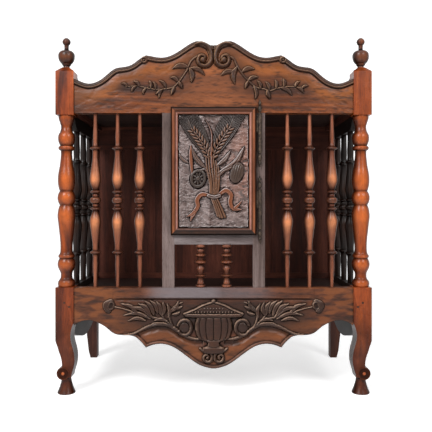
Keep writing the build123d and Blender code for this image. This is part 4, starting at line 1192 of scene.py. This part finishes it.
# Painted shade makes the field's quirk near-black; the ground's ridges carry a near-white painted
# highlight
panel_tints = (
    ("plain", 0.9 * (panel.kind == plain)), ("olive", 0.95 * (panel.kind == olive)),
    ("amber", 0.95 * (panel.kind == amber)), ("straw", 0.95 * (panel.kind == straw)),
    ("quirk", 1.0 * in_quirk * (frame_gap < 3.0)),
    ("rosy", 0.8 * bell(panel.x, 80, 46) * bell(panel.z, 610, 110, 4)),
)
panel_walnut = wood(
    "silvered_walnut", rgb(84, 62, 56), rgb(134, 116, 112), rgb(168, 154, 152), "z", 0.18, 0.3,
    rgb(18, 9, 6), rgb(226, 218, 218), 0.85,
    (
        ("rosy", rgb(140, 96, 80)), ("plain", rgb(78, 50, 34)), ("olive", rgb(50, 38, 28)),
        ("amber", rgb(116, 62, 30)), ("straw", rgb(102, 64, 36)), ("quirk", rgb(24, 12, 8)),
    ),
)
panel_columns = np.linspace(field_left, field_right, 210)
panel_piece = carved_board(
    "carved_door_field", panel, panel_columns, field_bottom, field_top, 330,
    field_face, plate_face + joint_gap, panel_walnut, panel_tints, 1.0, (1, 0.8, 0.34, 0.6, 0.38),
)
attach(panel_piece, "door")


# Door mouldings: four strips mitred round the panel, rubbed bright along the bead with a painted
# highlight there as well, and black with wax and painted shade in the quirks and at the outer edge.
# The bottom strip is coloured almost black all over: painted shadow under the door.
moulding_tones = rgb(80, 40, 22), rgb(144, 82, 52), rgb(186, 114, 74)
moulding_upright = wood(
    "moulding_walnut_upright", *moulding_tones, "z", 0.26, 0.22, rgb(24, 9, 4),
    rgb(176, 128, 118), 0.85, (("shade_and_dark_tone", rgb(30, 17, 12)),),
)
moulding_across = wood(
    "moulding_walnut_across", *moulding_tones, "x", 0.26, 0.22, rgb(18, 8, 4), rgb(150, 104, 90), 0.5,
    (("shade_and_dark_tone", rgb(24, 14, 10)),),
)
door_low, door_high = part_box("door_left_moulding")[0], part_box("door_right_moulding")[1]
# Shares by the distance from the outer edge in millimetres
strip_wax_and_shade = (
    (0, 1), (3.2, 0.95), (5, 0.3), (6.1, 0), (8.4, 0.1), (11, 0.45), (12.1, 0.95), (13.3, 0.3),
    (14.6, 0), (18.7, 0.2), (20, 1),
)
for place_name, material, bead_sheen, darkening in (
    ("left", moulding_upright, 1, ((0, 0.5), (4, 0.1), (20, 0))),
    ("right", moulding_upright, 1, ((0, 0.5), (4, 0), (20, 0))),
    ("top", moulding_across, 1, ((0, 1), (5, 0.7), (11, 0.4), (14.6, 0.2), (20, 0.5))),
    ("bottom", moulding_across, 0.65, ((0, 1), (12.1, 1), (14.6, 0.95), (17.5, 0.9), (20, 1))),
):
    strip = welded(f"{place_name}_strip", f"door_{place_name}_moulding", material, "door")
    x, _, z = corners(strip.data).T
    from_edges = [x - door_low.x, door_high.x - x, z - door_low.z, door_high.z - z]
    inward = 1000 * np.minimum.reduce(from_edges)
    strip_sheen = ((13, 0), (14.6, bead_sheen), (17.4, bead_sheen), (18.6, 0))
    for title, stops in (("wax_and_shade", strip_wax_and_shade), ("polish_and_sheen", strip_sheen), ("shade_and_dark_tone", darkening)):
        paint(strip.data, title, np.interp(inward, *zip(*stops)))


# Hinges: two forged lift-off hinges with turned finials, their leaves let into the stile and the
# door, and a pin through each. The iron has gone dark, with a brown bloom of old rust.
iron = bpy.data.materials.new("forged_iron")
iron_tree = fresh_tree(iron)
iron_skin = add(iron_tree, "ShaderNodeBsdfPrincipled", Metallic=0.7, Roughness=0.5)
iron_place = add(iron_tree, "ShaderNodeTexCoord")
bloom = add(iron_tree, "ShaderNodeTexNoise", Scale=160, Detail=6)
tones = add(iron_tree, "ShaderNodeValToRGB")
for element, position, tone in zip(
    tones.color_ramp.elements, (0.35, 0.7), (rgb(26, 21, 18), rgb(84, 68, 56))
):
    element.position = position
    element.color = tone
dents = add(iron_tree, "ShaderNodeBump", Strength=0.4, Distance=0.0005)
iron_out = add(iron_tree, "ShaderNodeOutputMaterial")
join(
    iron_tree, (iron_place, "Object", bloom, "Vector"), (bloom, "Fac", tones, "Fac"),
    (tones, "Color", iron_skin, "Base Color"), (bloom, "Fac", dents, "Height"),
    (dents, "Normal", iron_skin, "Normal"), (iron_skin, 0, iron_out, 0),
)
for level in ("upper", "lower"):
    finish_with(iron, f"{level}_hinge_door_half", f"{level}_hinge_frame_half", f"{level}_hinge_pin")
